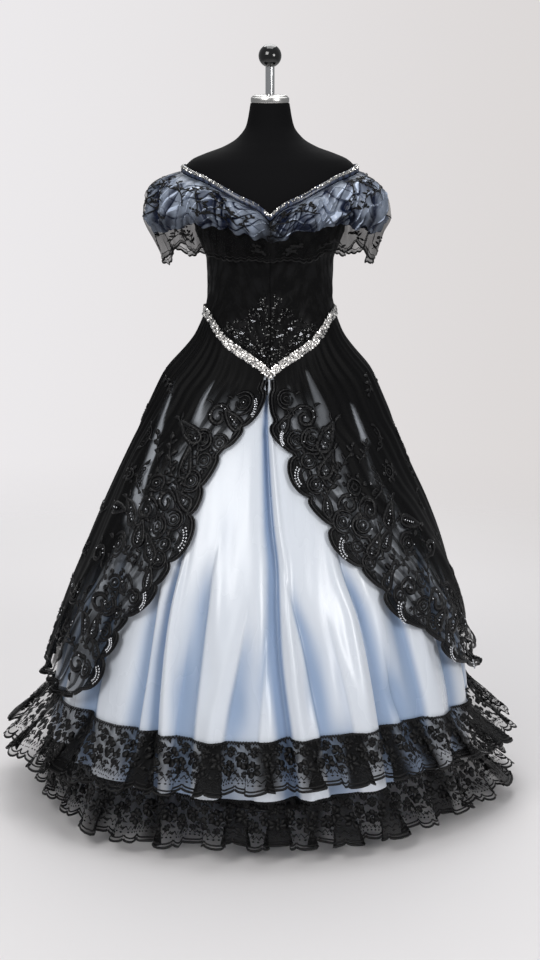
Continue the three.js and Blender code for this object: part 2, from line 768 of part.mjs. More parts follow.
// A border joined to one front edge of the overskirt, along the edge's own straight stretches.
function addFrontBorder(name, column, towards, lobes) {
  const perStretch = 4;
  const faces = {};
  for (const side of ['inner', 'outer']) {
    const line = overskirtFaces[side].slice(1).map((row) => row[column]);
    const along = [line[0]];
    for (let r = 0; r + 1 < line.length; r += 1) {
      for (let i = 1; i <= perStretch; i += 1) {
        along.push(line[r].clone().lerp(line[r + 1], i / perStretch));
      }
    }
    faces[side] = [
      along.map((point) => slidRound(point, towards * seamGap)),
      along.map((point) => slidRound(point, towards * lobeReach(lobes, point.z))),
    ];
  }
  add(name, wallGeometry(faces), blackLace);
}

// The scalloped strip along the overskirt's hem, hanging from its last row.
function addHemBorder() {
  const faces = {};
  for (const side of ['inner', 'outer']) {
    const [above, last] = overskirtFaces[side].slice(-2);
    const down = last.map((point, c) => point.clone().sub(above[c]).setZ(0).setLength(0.3).setZ(-1));
    const lobe = last.map((_, c) => (
      Math.abs(Math.sin((Math.PI * hemLobes.count * c) / overskirtColumns))));
    faces[side] = [
      last.map((point, c) => point.clone().addScaledVector(down[c], seamGap)),
      last.map((point, c) => (
        point.clone().addScaledVector(down[c], hemLobes.base + hemLobes.reach * lobe[c]))),
    ];
  }
  const half = overskirtColumns / 2;
  add('overskirt_hem_right', wallGeometry(panel(faces, 0, half)), blackLace);
  add('overskirt_hem_left', wallGeometry(panel(faces, half, overskirtColumns)), blackLace);
}

// ---------------------------------------------------------------- lace flounces

// A flounce gathered on a line round the satin, flaring and waving out to a scalloped edge.
// Its head has the satin's own columns, and its edge has twice as many.
function flounceFaces(shape, gapAtHead) {
  const headAt = curve(shape.line, 'turn', 'head');
  const edgeAt = curve(shape.line, 'turn', 'edge');
  const flareAt = curve(shape.line, 'turn', 'out');
  const rowPoint = (turn, down, grown, lift) => {
    const drift = 30 * Math.sin(degToRad(3 * turn + 50)) + 20 * Math.sin(degToRad(7 * turn));
    const wave = Math.cos(degToRad(shape.waves * turn + drift));
    const height = lerp(headAt(turn), edgeAt(turn), down);
    const level = Math.max(height, satinHemHeight);
    const smooth = skirtSurface(turn, level);
    const away = skirtSurface(turn, level, 1).sub(smooth);
    const out = gapAtHead + grown * (flareAt(turn) + shape.wave * wave);
    return onSatin(turn, level).lerp(smooth, grown).addScaledVector(away, out).setZ(height + lift);
  };
  const doubled = satinTurns.flatMap((turn, i) => (i ? [(satinTurns[i - 1] + turn) / 2, turn] : [turn]));
  return wallFaces([
    satinTurns.map((turn) => rowPoint(turn, 0, 0, 0)),
    satinTurns.map((turn) => rowPoint(turn, 0.45, 0.36, 0)),
    doubled.map((turn, i) => rowPoint(turn, 1, 1, i % 2 ? 0 : laceScallop)),
  ], -netWall / 2, netWall / 2);
}

function addFlounce(name, faces, sectors) {
  const width = 360 / sectors;
  for (let i = 0; i < sectors; i += 1) {
    const ends = [i, i + 1].map((end) => satinTurns.indexOf(-180 + end * width));
    add(`${name}_${i + 1}`, wallGeometry(panel(faces, ...ends)), blackLace);
  }
}

// ---------------------------------------------------------------- stand and finial

function addStand() {
  const { radius, thickness, edge } = basePlate;
  const base = [[0, 0], [radius, 0], [radius, thickness - edge], [radius - edge, thickness],
    [baseHub.radius, thickness], [baseHub.radius, baseHub.height], [0, baseHub.height]];
  add('stand_base', turnedGeometry(base, 36), standSteel);
  const collarTop = formBottom - seamGap;
  const collarFoot = collarTop - collar.height;
  const pole = [[0, baseHub.height + seamGap], [poleRadius, baseHub.height + seamGap],
    [poleRadius, collarFoot - seamGap], [0, collarFoot - seamGap]];
  add('stand_pole', turnedGeometry(pole, 20), standSteel);
  const ring = [[0, collarFoot], [collar.foot, collarFoot], [collar.radius, collarTop - 8],
    [collar.radius, collarTop], [0, collarTop]];
  add('stand_collar', turnedGeometry(ring, 24), standSteel);
}

function addFinial() {
  const { radius, lower, upper, crown } = neckCap;
  const cap = [[0, lower], [radius, lower], [radius, upper - crown], [radius - 4, upper - 3],
    [radius * 0.55, upper - 0.6], [finialRod.radius + 3, upper], [0, upper]];
  add('neck_cap', turnedGeometry(cap, 24), chrome);
  const sink = Math.sqrt(finialBall.radius ** 2 - finialRod.radius ** 2);
  const rodTop = Math.min(finialRod.upper, finialBall.centre - sink - seamGap);
  const rod = [[0, upper + seamGap], [finialRod.radius, upper + seamGap],
    [finialRod.radius, rodTop], [0, rodTop]];
  add('finial_rod', turnedGeometry(rod, 20), chrome);
  const foot = Math.asin(finialRod.radius / finialBall.radius);
  const steps = 9;
  const ball = [[0, finialBall.centre - sink]];
  for (let i = 0; i <= steps; i += 1) {
    const angle = lerp(foot, Math.PI, i / steps);
    const height = finialBall.centre - finialBall.radius * Math.cos(angle);
    ball.push([i === steps ? 0 : finialBall.radius * Math.sin(angle), height]);
  }
  add('finial_ball', turnedGeometry(ball, 20), chrome);
}

// ---------------------------------------------------------------- the gown

addStand();
addDressForm();
addFinial();
addBodice();
addBodyTrim('waist_trim', waistAt, inset(waistAt, waistTrimWidth));
addBodyTrim('neckline_trim', inset(neckAt, -neckTrimWidth), neckAt);
addBertha();
addSatinSkirt();
addOverskirt();
addFrontBorder('overskirt_edge_right', 0, -1, rightLobes);
addFrontBorder('overskirt_edge_left', overskirtColumns, 1, leftLobes);
addHemBorder();
addFlounce('upper_flounce', flounceFaces(upperFlounce, netWall / 2 + 8 * seamGap), 4);
addFlounce('lower_flounce', flounceFaces(lowerFlounce, -satinWall / 2), 6);

export default gown;
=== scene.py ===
"""A rococo gown on a limbless dress form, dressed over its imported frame.

Tables and lines are in millimetres and turns in degrees, as in the part's own source: a turn of
0 is the centre front, 90 is +X and 180 the centre back. Meshes are made in metres.
"""

import math

import bpy
import numpy as np
from bpy.props import FloatProperty, FloatVectorProperty, IntProperty, PointerProperty
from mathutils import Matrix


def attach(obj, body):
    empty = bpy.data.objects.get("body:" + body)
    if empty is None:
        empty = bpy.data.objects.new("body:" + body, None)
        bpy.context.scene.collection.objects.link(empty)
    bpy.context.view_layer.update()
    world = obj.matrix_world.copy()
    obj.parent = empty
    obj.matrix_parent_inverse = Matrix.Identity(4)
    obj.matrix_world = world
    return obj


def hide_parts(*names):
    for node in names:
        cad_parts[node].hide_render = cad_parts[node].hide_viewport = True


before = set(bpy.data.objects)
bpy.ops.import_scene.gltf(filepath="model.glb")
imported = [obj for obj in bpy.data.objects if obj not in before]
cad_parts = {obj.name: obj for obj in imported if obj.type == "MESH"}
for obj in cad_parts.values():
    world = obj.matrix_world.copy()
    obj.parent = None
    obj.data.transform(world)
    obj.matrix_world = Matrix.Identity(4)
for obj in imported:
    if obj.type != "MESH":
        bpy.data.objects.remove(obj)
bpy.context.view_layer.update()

bl_info = {
    "name": "Rococo gown",
    "version": (1, 0, 0),
    "blender": (4, 5, 0),
    "location": "3D View > Sidebar > Gown",
    "description": "Cloth, lace, sequins and stand of a rococo gown on a dress form",
    "category": "Object",
}

MM = 0.001
FULL_TURN = 6.28                 # radians, near enough
RADIAN = 57.3                    # degrees, near enough

# ---- sizes shared with the frame

WAIST_HEIGHT = 1038
HEM_HEIGHT = 128
FORM_BOTTOM = 820
FORM_TOP = 1469
SEAM = 0.3
BODICE_WALL = 2
BODICE_EASE = 1.8
BODICE_FACE = BODICE_EASE + BODICE_WALL
SKIRT_LEAN = 20
WAIST_TRIM = 16
NECK_TRIM = 13
BERTHA_SEAM = 1.5
BORDER_BASE = 7

# Height, half width, depth before and depth behind the pole's axis.
FORM_SECTIONS = (
    (820, 160, 106, 114), (850, 165, 111, 121), (900, 163, 112, 120), (950, 155, 110, 112),
    (1000, 142, 105, 100), (1038, 133, 100, 92), (1086, 127, 102, 89), (1150, 129, 114, 96),
    (1176, 138, 118, 100), (1200, 148, 121, 104), (1240, 165, 119, 108), (1280, 178, 110, 106),
    (1312, 182, 98, 102), (1335, 178, 87, 95), (1354, 162, 78, 88), (1368, 131, 70, 79),
    (1380, 98, 64, 72), (1398, 68, 55, 60), (1424, 49, 46, 48), (1469, 40, 40, 40),
)
SKIRT_SECTIONS = (
    (128, 466, 462, 474), (250, 452, 444, 462), (370, 422, 410, 436), (496, 382, 364, 400),
    (625, 333, 302, 356), (780, 267, 212, 288), (850, 238, 166, 252), (919, 207, 124, 212),
    (965, 178, 117, 176), (1005, 150, 111, 132), (1038, 136, 105, 98),
)
WAIST_LINE = (
    (0, 917), (9, 938), (18, 953), (36, 979), (45, 994), (54, 1011), (63, 1025), (81, 1035),
    (180, 1034),
)
NECK_LINE = (
    (0, 1252), (9, 1275), (20, 1290), (33, 1310), (51, 1330), (90, 1345), (128, 1335),
    (154, 1325), (180, 1322),
)
UNDERARM_DROP = (
    (0, 0), (36, 0), (54, 48), (72, 118), (90, 138), (108, 120), (126, 52), (144, 0), (180, 0),
)
# Turn, reach of the puff, height of the puff's edge and of the net ruffle's edge.
BERTHA_SHAPE = (
    (0, 22, 1195, 1155), (15, 26, 1212, 1158), (30, 30, 1222, 1160), (45, 37, 1230, 1170),
    (60, 46, 1222, 1172), (75, 54, 1212, 1155), (90, 58, 1206, 1147), (115, 55, 1210, 1155),
    (150, 44, 1218, 1160), (180, 38, 1220, 1160),
)
PUFF_ROWS = ((0, 0, 0), (0.28, 0.5, 0.1), (0.55, 0.94, 0.38), (0.78, 0.98, 0.72), (1, 0.7, 1))
# Front edges of the net overskirt: height and turn.
RIGHT_EDGE = (
    (275, 88), (304, 75), (340, 66), (404, 56), (470, 44.5), (525, 38), (600, 28.5),
    (651, 23.5), (700, 17), (781, 12), (830, 4.5), (920, 2.5),
)
LEFT_EDGE = (
    (268, -59), (302, -53), (380, -49), (439, -45), (500, -38.5), (566, -33), (650, -29.5),
    (720, -27), (775, -22), (800, -17.5), (850, -10), (920, -4),
)
# Lobes of the scalloped borders: height of the middle, half the length, reach from the edge.
RIGHT_LOBES = (
    (868, 24, 6), (808, 26, 14), (738, 36, 22), (672, 24, 10), (602, 38, 24), (540, 22, 10),
    (466, 42, 25), (405, 18, 9), (352, 32, 27), (300, 18, 14),
)
LEFT_LOBES = (
    (862, 32, 14), (808, 18, 8), (744, 28, 10), (690, 26, 12), (618, 44, 24), (548, 22, 10),
    (494, 34, 19), (442, 16, 8), (398, 28, 22), (336, 36, 30),
)
# Part of the way down, how far the overskirt stands off the satin and how deep its gathers are.
OVERSKIRT_STAND = (
    (0, 2.8, 0), (0.04, 6, 2), (0.12, 8.5, 3), (0.26, 10, 4), (0.42, 12, 5), (0.6, 15, 6.5),
    (0.827, 21, 8),
)
OVERSKIRT_END = 0.827
OVERSKIRT_GATHERS = 19
HEM_LOBES = (12, 7, 15)          # how many, their narrow width and their reach
# Flounces: waves, depth of a wave, then turn, height of the head, height of the edge, flare.
UPPER_FLOUNCE = (30, 13, (
    (-180, 254, 146, 52), (-130, 246, 132, 66), (-90, 238, 116, 84), (-68, 244, 118, 84),
    (-40, 246, 128, 46), (-12, 244, 146, 34), (10, 249, 157, 32), (38, 250, 155, 42),
    (58, 236, 148, 58), (78, 222, 134, 76), (95, 226, 130, 78), (135, 246, 138, 60),
    (180, 254, 146, 52),
))
LOWER_FLOUNCE = (32, 15, (
    (-180, 127.7, 30, 46), (-120, 127.7, 30, 36), (-85, 127.7, 32, 18), (-60, 127.7, 32, 20),
    (-41, 127.7, 23, 44), (-26, 127.7, 24, 30), (-12, 127.7, 34, 22), (10, 127.7, 32, 20),
    (36, 127.7, 25, 24), (50, 127.7, 30, 28), (70, 127.7, 26, 62), (88, 127.7, 26, 84),
    (130, 127.7, 30, 60), (180, 127.7, 30, 46),
))
LACE_REPEATS = 60                # repeats of the lace's pattern round one flounce
LACE_WIDE, LACE_TALL = 72, 112   # size of one repeat as it is drawn
COLUMN = 9                       # degrees between the frame's columns round the body
BODY_STEP, NET_STEP = (0.5, -2.0), (0.3, -2.0)    # small steps round and down, for slopes
SETTLING = 14                    # rounds in which a place on a sloping edge is found
BORDER_STEP = 1.6                # between the rows of a front border's net
EVEN_STEP = 4.0                  # between the points of a cord along a front edge
LARGE_LOBE = 13                  # reach from which a lobe has a pattern inside it
CORD_HIGH = 1.5                  # how far a border's cord stands up
SPRAY_ROWS = 84                  # between the rows of patterns away from the front edges
RUFFLE_PACE = (3.2, 125)         # millimetres to a degree round the bertha, and to 1 down it
SPRAY_SEQUIN, SPRAY_BEAD, SILVER_BEAD = 0.005, 0.0036, 0.0034    # widths in metres
FLOOR_RADIUS, FLOOR_SIDES = 4700, 72
EYE, LOOKS_DOWN = (0, -4.2, 1.63), 12.8           # the camera's place in metres, its tilt
SENSOR = 36                      # along the longer side of the view, in millimetres
FOCAL = 2013 / 960 * SENSOR      # in millimetres

# ---- folds of the cloth

# Creases down the open front of the satin: their path as (height, turn), how wide they are in
# degrees, how deep in millimetres, and the side on which the cloth bulges beside them.
SATIN_CREASES = (
    (((128, 9.5), (248, 7.4), (427, 4.6), (567, 4), (648, 2.4), (803, 0), (915, -1.6),
      (960, -1.6)), 1.3, 25, 1),
    (((128, 18.5), (253, 15.8), (425, 11.6), (514, 8.1), (602, 4.9)), 2.2, 15, -1),
    (((128, 35), (244, 33.1), (458, 30.2), (573, 25.6), (640, 24)), 2.1, 20, -1),
    (((128, -18.5), (248, -18.3), (533, -17.6), (640, -16)), 2.8, 14, 1),
    (((128, -27.5), (241, -28.4), (480, -30), (567, -29.1), (660, -28)), 1.2, 24, 1),
    (((128, -35), (323, -34.1), (506, -34.8), (600, -35)), 2, 17, 1),
    (((128, -10), (253, -8.9), (449, -5.3), (530, -4)), 2.2, 12, -1),
    (((128, 50), (300, 48), (480, 45.5), (620, 44)), 3.2, 18, 1),
    (((128, 25.5), (260, 24), (420, 20.5), (500, 18)), 1.6, 7, 1),
    (((128, -2), (260, -1), (420, 0.5), (500, 1)), 1.8, 7, 1),
    (((128, -23), (260, -22.6), (400, -22), (480, -21.5)), 1.5, 7, -1),
    (((128, 42), (230, 41), (330, 38), (420, 36.5)), 1.8, 9, -1),
)
HIDDEN_FOLDS = (65, 305, 17, 800, 5.2, 21)      # first and last turn, count, top, spread, depth
# Soft dents where the satin hangs slack: turn, height, half width, half length, depth.
SATIN_DENTS = (
    (13, 330, 3, 60, 5), (22, 235, 4, 34, 6), (-6, 300, 3, 48, 5), (27, 330, 3, 70, -4),
    (38, 300, 4, 40, 6), (-14, 380, 3, 70, 5), (-13, 260, 2.4, 45, -5), (-24, 330, 2.4, 60, 5),
    (2, 360, 2.4, 80, 4), (18, 430, 3, 70, 3), (-12, 620, 3, 90, 4), (10, 690, 2.6, 90, 3),
)
# Places where the gathered net is only one layer thick: (height, turn) at the top and the foot,
# half the width at the foot in degrees, and how much of the satin they still hide.
THIN_PLACES = (
    ((910, -61.5), (628, -55.8), 6.5, 0.16), ((912, -35.2), (832, -35.8), 3, 0.2),
    ((836, -36.5), (722, -36), 2.6, 0.56), ((722, -37.4), (633, -36.5), 2.8, 0.46),
    ((633, -37.1), (550, -41.4), 3.4, 0.48), ((775, -50.3), (700, -44.7), 1.3, 0.34),
    ((618, -54.2), (514, -53.9), 5.5, 0.42), ((499, -59.1), (345, -53.7), 5.8, 0.48),
    ((885, -18), (842, -24), 3, 0.5), ((865, 46.6), (788, 48.5), 3.7, 0.2),
    ((935, 26.2), (831, 27.9), 4.6, 0.5), ((835, 28.6), (742, 30.4), 3.8, 0.48),
    ((745, 30.3), (655, 33.8), 3.8, 0.46), ((785, 46.8), (708, 46.7), 3.3, 0.5),
    ((722, 49), (608, 55.2), 3.4, 0.2), ((614, 62.8), (548, 66), 2.2, 0.4),
    ((616, 37.6), (552, 44.2), 3, 0.42), ((560, 52), (450, 58), 3.4, 0.5),
    ((480, 60), (370, 66), 3, 0.5), ((905, 12), (850, 15), 3, 0.55),
    ((800, 100), (500, 104), 3, 0.4), ((840, 140), (520, 143), 2, 0.45),
    ((800, 182), (420, 186), 4, 0.46), ((850, 224), (560, 221), 2.4, 0.5),
    ((780, 262), (430, 258), 3, 0.4), ((600, 82), (420, 84), 3, 0.4),
    ((620, 160), (380, 163), 2.6, 0.55), ((600, 204), (380, 206), 5, 0.58),
    ((640, -95), (400, -93), 3, 0.5), ((700, 172), (560, 174), 2, 0.5),
    ((540, 214), (330, 219), 3, 0.5), ((520, 120), (340, 124), 5, 0.55),
    ((900, 195), (760, 197), 1.6, 0.45), ((900, 158), (700, 156), 2.6, 0.55),
    ((480, 238), (330, 242), 4, 0.52), ((880, 250), (700, 247), 2, 0.5),
)

# ---- arithmetic


def curve(rows, column=1):
    """A smooth curve through one column of a table, read at any values of its first column."""
    x = np.array([row[0] for row in rows], float)
    y = np.array([row[column] for row in rows], float)
    slope = np.diff(y) / np.diff(x)
    rising = slope[:-1] * slope[1:] > 0
    total = np.where(rising, slope[:-1] + slope[1:], 1)
    inner = np.where(rising, 2 * slope[:-1] * slope[1:] / total, 0)
    tangent = np.concatenate([slope[:1], inner, slope[-1:]])

    def read(value):
        place = np.clip(value, x[0], x[-1])
        i = np.clip(np.searchsorted(x, place, side="right") - 1, 0, len(x) - 2)
        width = x[i + 1] - x[i]
        t = (place - x[i]) / width
        ends = width * (t * (1 - t) ** 2 * tangent[i] - t * t * (1 - t) * tangent[i + 1])
        return y[i] + (y[i + 1] - y[i]) * t * t * (3 - 2 * t) + ends

    return read


def lerp(a, b, t):
    return a + (b - a) * t


def smoothstep(value, low, high):
    t = np.clip((value - low) / (high - low), 0, 1)
    return t * t * (3 - 2 * t)


def bell(value, spread):
    return np.exp(-((value / spread) ** 2))


def wrapped(turn):
    return turn - 360 * np.round(turn / 360)


def mirrored(rows, column=1):
    """A curve of the turn that is the same on both sides of the gown."""
    half = curve(rows, column)
    return lambda turn: half(np.abs(wrapped(turn)))


def unit(vectors):
    return vectors / np.maximum(np.linalg.norm(vectors, axis=-1, keepdims=True), 1e-9)


def ripple(u, v, seed, waves=7):
    """Soft unevenness from -1 to 1, with about one wave for each unit of u and of v."""
    rng = np.random.default_rng(seed)
    total = 0
    for _ in range(waves):
        a, b, phase = rng.uniform(0.6, 1.5), rng.uniform(-1, 1), rng.uniform(0, FULL_TURN)
        total = total + np.sin(FULL_TURN * (a * u + b * v) + phase)
    return total / waves ** 0.5 / 1.4


def section_surface(rows, lean=lambda height: 0 * height):
    """A surface of oval sections, as a function of turn, height and distance from it."""
    width_at, front_at, back_at = (curve(rows, column) for column in (1, 2, 3))

    def surface(turn, height, off=0.0):
        side, ahead = np.sin(np.radians(turn)), np.cos(np.radians(turn))
        width = width_at(height)
        depth = np.where(ahead > 0, front_at(height), back_at(height))
        across, out = side / width, -ahead / depth
        size = np.hypot(across, out)
        x = lean(height) + side * width + across / size * off
        y = -ahead * depth + out / size * off
        return np.stack(np.broadcast_arrays(x, y, height), axis=-1).astype(float)

    return surface


# ---- body, bodice and bertha lines

body_surface = section_surface(FORM_SECTIONS)
neck_at = mirrored(NECK_LINE)
drop_at = mirrored(UNDERARM_DROP)
waist_curve = mirrored(WAIST_LINE)


def waist_at(turn):
    """The waist seam, straight between the frame's columns."""
    column = np.floor(np.asarray(turn) / COLUMN)
    start, end = waist_curve(column * COLUMN), waist_curve(column * COLUMN + COLUMN)
    return lerp(start, end, turn / COLUMN - column)


even_reach_at, puff_edge_at, net_edge_at = (mirrored(BERTHA_SHAPE, i) for i in (1, 2, 3))
puff_out_at, puff_down_at = curve(PUFF_ROWS, 1), curve(PUFF_ROWS, 2)


def reach_at(turn):
    return even_reach_at(turn) * (1 - 0.12 * np.sin(np.radians(turn)))


def bertha_gather(turn):
    drift = 24 * np.sin(np.radians(3 * turn)) + 16 * np.sin(np.radians(5 * turn + 40))
    return np.cos(np.radians(16 * turn + drift))


def bertha_point(turn, out, height, depth):
    """A point of the bertha, `out` from the neckline at a given height."""
    seam = body_surface(turn, neck_at(turn) - NECK_TRIM - BERTHA_SEAM)
    away = body_surface(turn, neck_at(turn), 1) - body_surface(turn, neck_at(turn))
    middle = bell(wrapped(turn), 7)
    far = out + depth * bertha_gather(turn) - 9 * middle * np.minimum(1, out / 12)
    point = seam + away * (far + BODICE_FACE + 2)[..., None]
    point[..., 2] = height
    return point


def puff_bubbles(turn, down):
    """How far the puff swells between its gathers, in millimetres."""
    bend = 0.35 * ripple(turn / 40, down * 0.6, 8, 3)
    return smoothstep(down, 0, 0.25) * 9 * ripple(turn / 30 + bend, down * 0.8 + bend, 3, 4)


def puff_creases(turn, down):
    """How deep the sharp wrinkles between those bubbles are, in millimetres."""
    bend = 0.5 * ripple(turn / 34, down * 0.5, 19, 3)
    long_ones = ripple(turn / 29 + 1.3 * down + bend, down * 0.8 - bend, 21, 3)
    short_ones = ripple(turn / 19 - 1.7 * down - bend, down * 1.2 + bend, 33, 3)
    crests = ripple(turn / 22 + 1.5 * down - bend, down * 1.0 + bend, 45, 3)
    depth = 11 * bell(long_ones, 0.12) + 5 * bell(short_ones, 0.1) - 5.5 * bell(crests, 0.11)
    return smoothstep(down, 0, 0.2) * depth


def puff_point(turn, down, off=0.0, creased=1.0):
    """A point of the satin puff; `down` runs from the gathered seam to the turned-under edge."""
    out = puff_out_at(down)
    top = neck_at(turn) - NECK_TRIM - BERTHA_SEAM
    edge = puff_edge_at(turn) + 6 * ripple(turn / 15, 0, 50)
    height = lerp(top, edge, puff_down_at(down))
    swell = puff_bubbles(turn, down) - creased * puff_creases(turn, down)
    far = np.maximum(out * reach_at(turn) + swell * smoothstep(out, 0, 0.6), 0.05)
    return bertha_point(turn, far + off * smoothstep(down, -0.05, 0.12), height, 5 * out)


def ruffle_point(turn, down):
    """A point of the bertha's net: over the puff as `down` goes to 1, then hanging, to 2."""
    on_puff = puff_point(turn, np.minimum(down, 1) * 0.8, 3.2, 0.25)
    hang = np.clip(down - 1, 0, 1)
    loose = smoothstep(hang, 0, 0.5)
    out = lerp(0.99, 0.5, hang ** 1.1) * reach_at(turn) + 4 * (1 - hang)
    out = out + (1 - loose) * puff_bubbles(turn, 0.8)
    flutter = 4.5 * ripple(turn / 13, hang, 5)
    scallop = 3.4 * np.abs(np.sin(np.radians(turn * 40)))
    # Corners where the net droops or lifts: turn on both sides, width and depth.
    corners = sum(deep * bell(wrapped(np.abs(turn) - at), wide) for at, wide, deep in
                  ((80, 13, 12), (62, 7, -22), (52, 7, 6), (106, 9, -12), (125, 9, 10)))
    edge = net_edge_at(turn) + 4 - scallop + 5 * ripple(turn / 30, 0, 12) - corners
    start = lerp(neck_at(turn) - NECK_TRIM, puff_edge_at(turn), puff_down_at(0.8))
    height = lerp(start, edge, hang)
    hanging = bertha_point(turn, out + flutter * loose, height, 6)
    return lerp(on_puff, hanging, smoothstep(down, 0.88, 1.12)[..., None])


# ---- skirts


def lean_at(height):
    return -SKIRT_LEAN * (WAIST_HEIGHT - height) / (WAIST_HEIGHT - HEM_HEIGHT)


skirt_surface = section_surface(SKIRT_SECTIONS, lean_at)


def row_height(turn, row):
    return lerp(waist_at(turn) - SEAM, HEM_HEIGHT, row)


def row_at(turn, height):
    top = waist_at(turn) - SEAM
    return (top - height) / (top - HEM_HEIGHT)


def skirt_point(turn, height, off):
    """A point off the skirt's outer line, which starts on the body at the waist seam."""
    on_body = body_surface(turn, height, BODICE_EASE + BODICE_WALL / 2 + off)
    share = smoothstep(row_at(turn, height), 0, 0.14)
    return lerp(on_body, skirt_surface(turn, height, off), share[..., None])


def pace(turn, height):
    """Millimetres of cloth for each degree round the skirt."""
    step = skirt_point(turn + 0.5, height, 0) - skirt_point(turn - 0.5, height, 0)
    return np.linalg.norm(step, axis=-1)


def height_pace(height):
    """Millimetres for each degree at a height, the mean of the way round."""
    return np.interp(height, (128, 500, 780, 1038), (8.2, 6.6, 4.6, 2.1))


def satin_fall(turn, height):
    """How far the satin falls in from its outer line, folds, creases and dents together."""
    fall = 0
    for path, spread, depth, bulge in SATIN_CREASES:
        top = path[-1][0]
        grown = smoothstep(top - height, 0, 170)
        wide = spread * lerp(0.7, 1.3, np.clip((top - height) / 500, 0, 1))
        from_it = wrapped(turn - curve(path)(height)) * bulge
        steep = bell(from_it, np.where(from_it > 0, 0.28, 1.9) * wide)
        fall = fall + depth * grown * (0.8 * steep + 0.3 * bell(from_it, 2.6 * wide))
        fall = fall - 0.4 * depth * grown * bell(from_it - 1.7 * wide, wide)
    first, last, count, top, spread, depth = HIDDEN_FOLDS
    for i in range(count):
        uneven = math.sin(2.4 * i)
        middle, start = lerp(first, last, i / (count - 1)), top - 90 * (1 + uneven)
        down = np.clip((start - height) / (start - HEM_HEIGHT), 0, 1)
        from_it = wrapped(turn - middle - 3 * uneven * down)
        deep = depth * (1 + 0.25 * uneven) * smoothstep(down, 0, 0.45)
        fall = fall + deep * (0.6 * bell(from_it, spread) + 0.4 * bell(from_it, 0.5 * spread))
    for at, level, half, tall, depth in SATIN_DENTS:
        fall = fall + depth * bell(wrapped(turn - at), half) * bell(height - level, tall)
    slack = smoothstep(row_at(turn, height), 0.02, 0.5)
    loose = 1.5 * ripple(turn / 17, height / 420, 2) + 0.7 * ripple(turn / 7, height / 260, 4)
    return fall + slack * loose


def satin_point(turn, height):
    return skirt_point(turn, height, -satin_fall(turn, height))


right_edge_at, left_edge_at = curve(RIGHT_EDGE), curve(LEFT_EDGE)
stand_at, gather_at = curve(OVERSKIRT_STAND, 1), curve(OVERSKIRT_STAND, 2)


def edge_turn(edge_at, row):
    """The turn where a row of the skirt meets an edge whose turn changes with height."""
    turn = edge_at(row_height(0 * row, row))
    for _ in range(SETTLING):
        turn = lerp(turn, edge_at(row_height(turn, row)), 0.6)
    return turn


def share_round(turn, height):
    """How far round the overskirt a place is, from 0 at its right front edge to 1 at its left."""
    right, left = right_edge_at(height), left_edge_at(height) + 360
    along = ((turn - right) % 360) / (left - right)
    return np.where(along > 1.08, along - 360 / (left - right), along)


def gathers(turn, height):
    """The overskirt's gathers, from -1 to 1, with small ones among the large near the waist."""
    along = share_round(turn, height)
    row = row_at(turn, height)
    drift = 0.8 * np.sin(7 * along + 1) + 0.5 * np.sin(17 * along + 3 * row)
    quiet = smoothstep(np.minimum(along, 1 - along), 0, 0.04)
    large = np.cos(2 * np.pi * (OVERSKIRT_GATHERS * along + drift))
    small = 3.1 * OVERSKIRT_GATHERS * along + 1.7 * drift + 0.6 * np.sin(9 * along)
    share = lerp(0.45, 0.16, smoothstep(row, 0.05, 0.6))
    return quiet * (large * (1 - share) + np.cos(2 * np.pi * small) * share)


def net_point(turn, height):
    row = row_at(turn, height)
    return skirt_point(turn, height, stand_at(row) + gather_at(row) * gathers(turn, height))


def net_cover(turn, height):
    """How much of what is behind it a place on the gathered net hides, from 0 to 1."""
    row = row_at(turn, height)
    folds = gathers(turn, height)
    cover = 0.93 + 0.04 * np.exp(-row / 0.16) + 0.03 * np.abs(folds) ** 3
    cover = cover + 0.03 * ripple(60 * share_round(turn, height), height / 900, 41)
    # Beside each front edge the worked net lies single, in uneven patches.
    for edge_at in (right_edge_at, left_edge_at):
        beside = np.abs(wrapped(turn - edge_at(height))) * height_pace(height)
        reach = lerp(80, 190, smoothstep(row, 0.3, 0.7))
        worked = (1 - smoothstep(beside, reach, 1.35 * reach)) * smoothstep(row, 0.05, 0.2)
        layers = smoothstep(ripple(50 * share_round(turn, height), height / 170, 46), -0.02, 0.2)
        cover = cover - (0.76 - 0.6 * layers) * worked
    for (top, start), (foot, end), width, shown in THIN_PLACES:
        t = (top - height) / (top - foot)
        down = np.clip(t, 0, 1)
        wide = width * lerp(0.3, 1, down)
        from_it = np.abs(wrapped(turn - lerp(start, end, down)))
        inside = smoothstep(t, -0.05, 0.1) * (1 - smoothstep(t, 0.94, 1.08))
        inside = inside * (1 - smoothstep(from_it, 0.6 * wide, wide))
        cover = lerp(cover, shown, inside)
    return np.clip(cover, 0.1, 0.97)


def lobe_reach(lobes, height):
    """How far a scalloped border reaches at a height: round lobes on a narrow heading."""
    reach = np.full_like(height, BORDER_BASE, float)
    for middle, half, out in lobes:
        part = np.clip(1 - ((height - middle) / half) ** 2, 0, None)
        reach = np.maximum(reach, BORDER_BASE * (part > 0) + out * np.sqrt(part))
    return reach


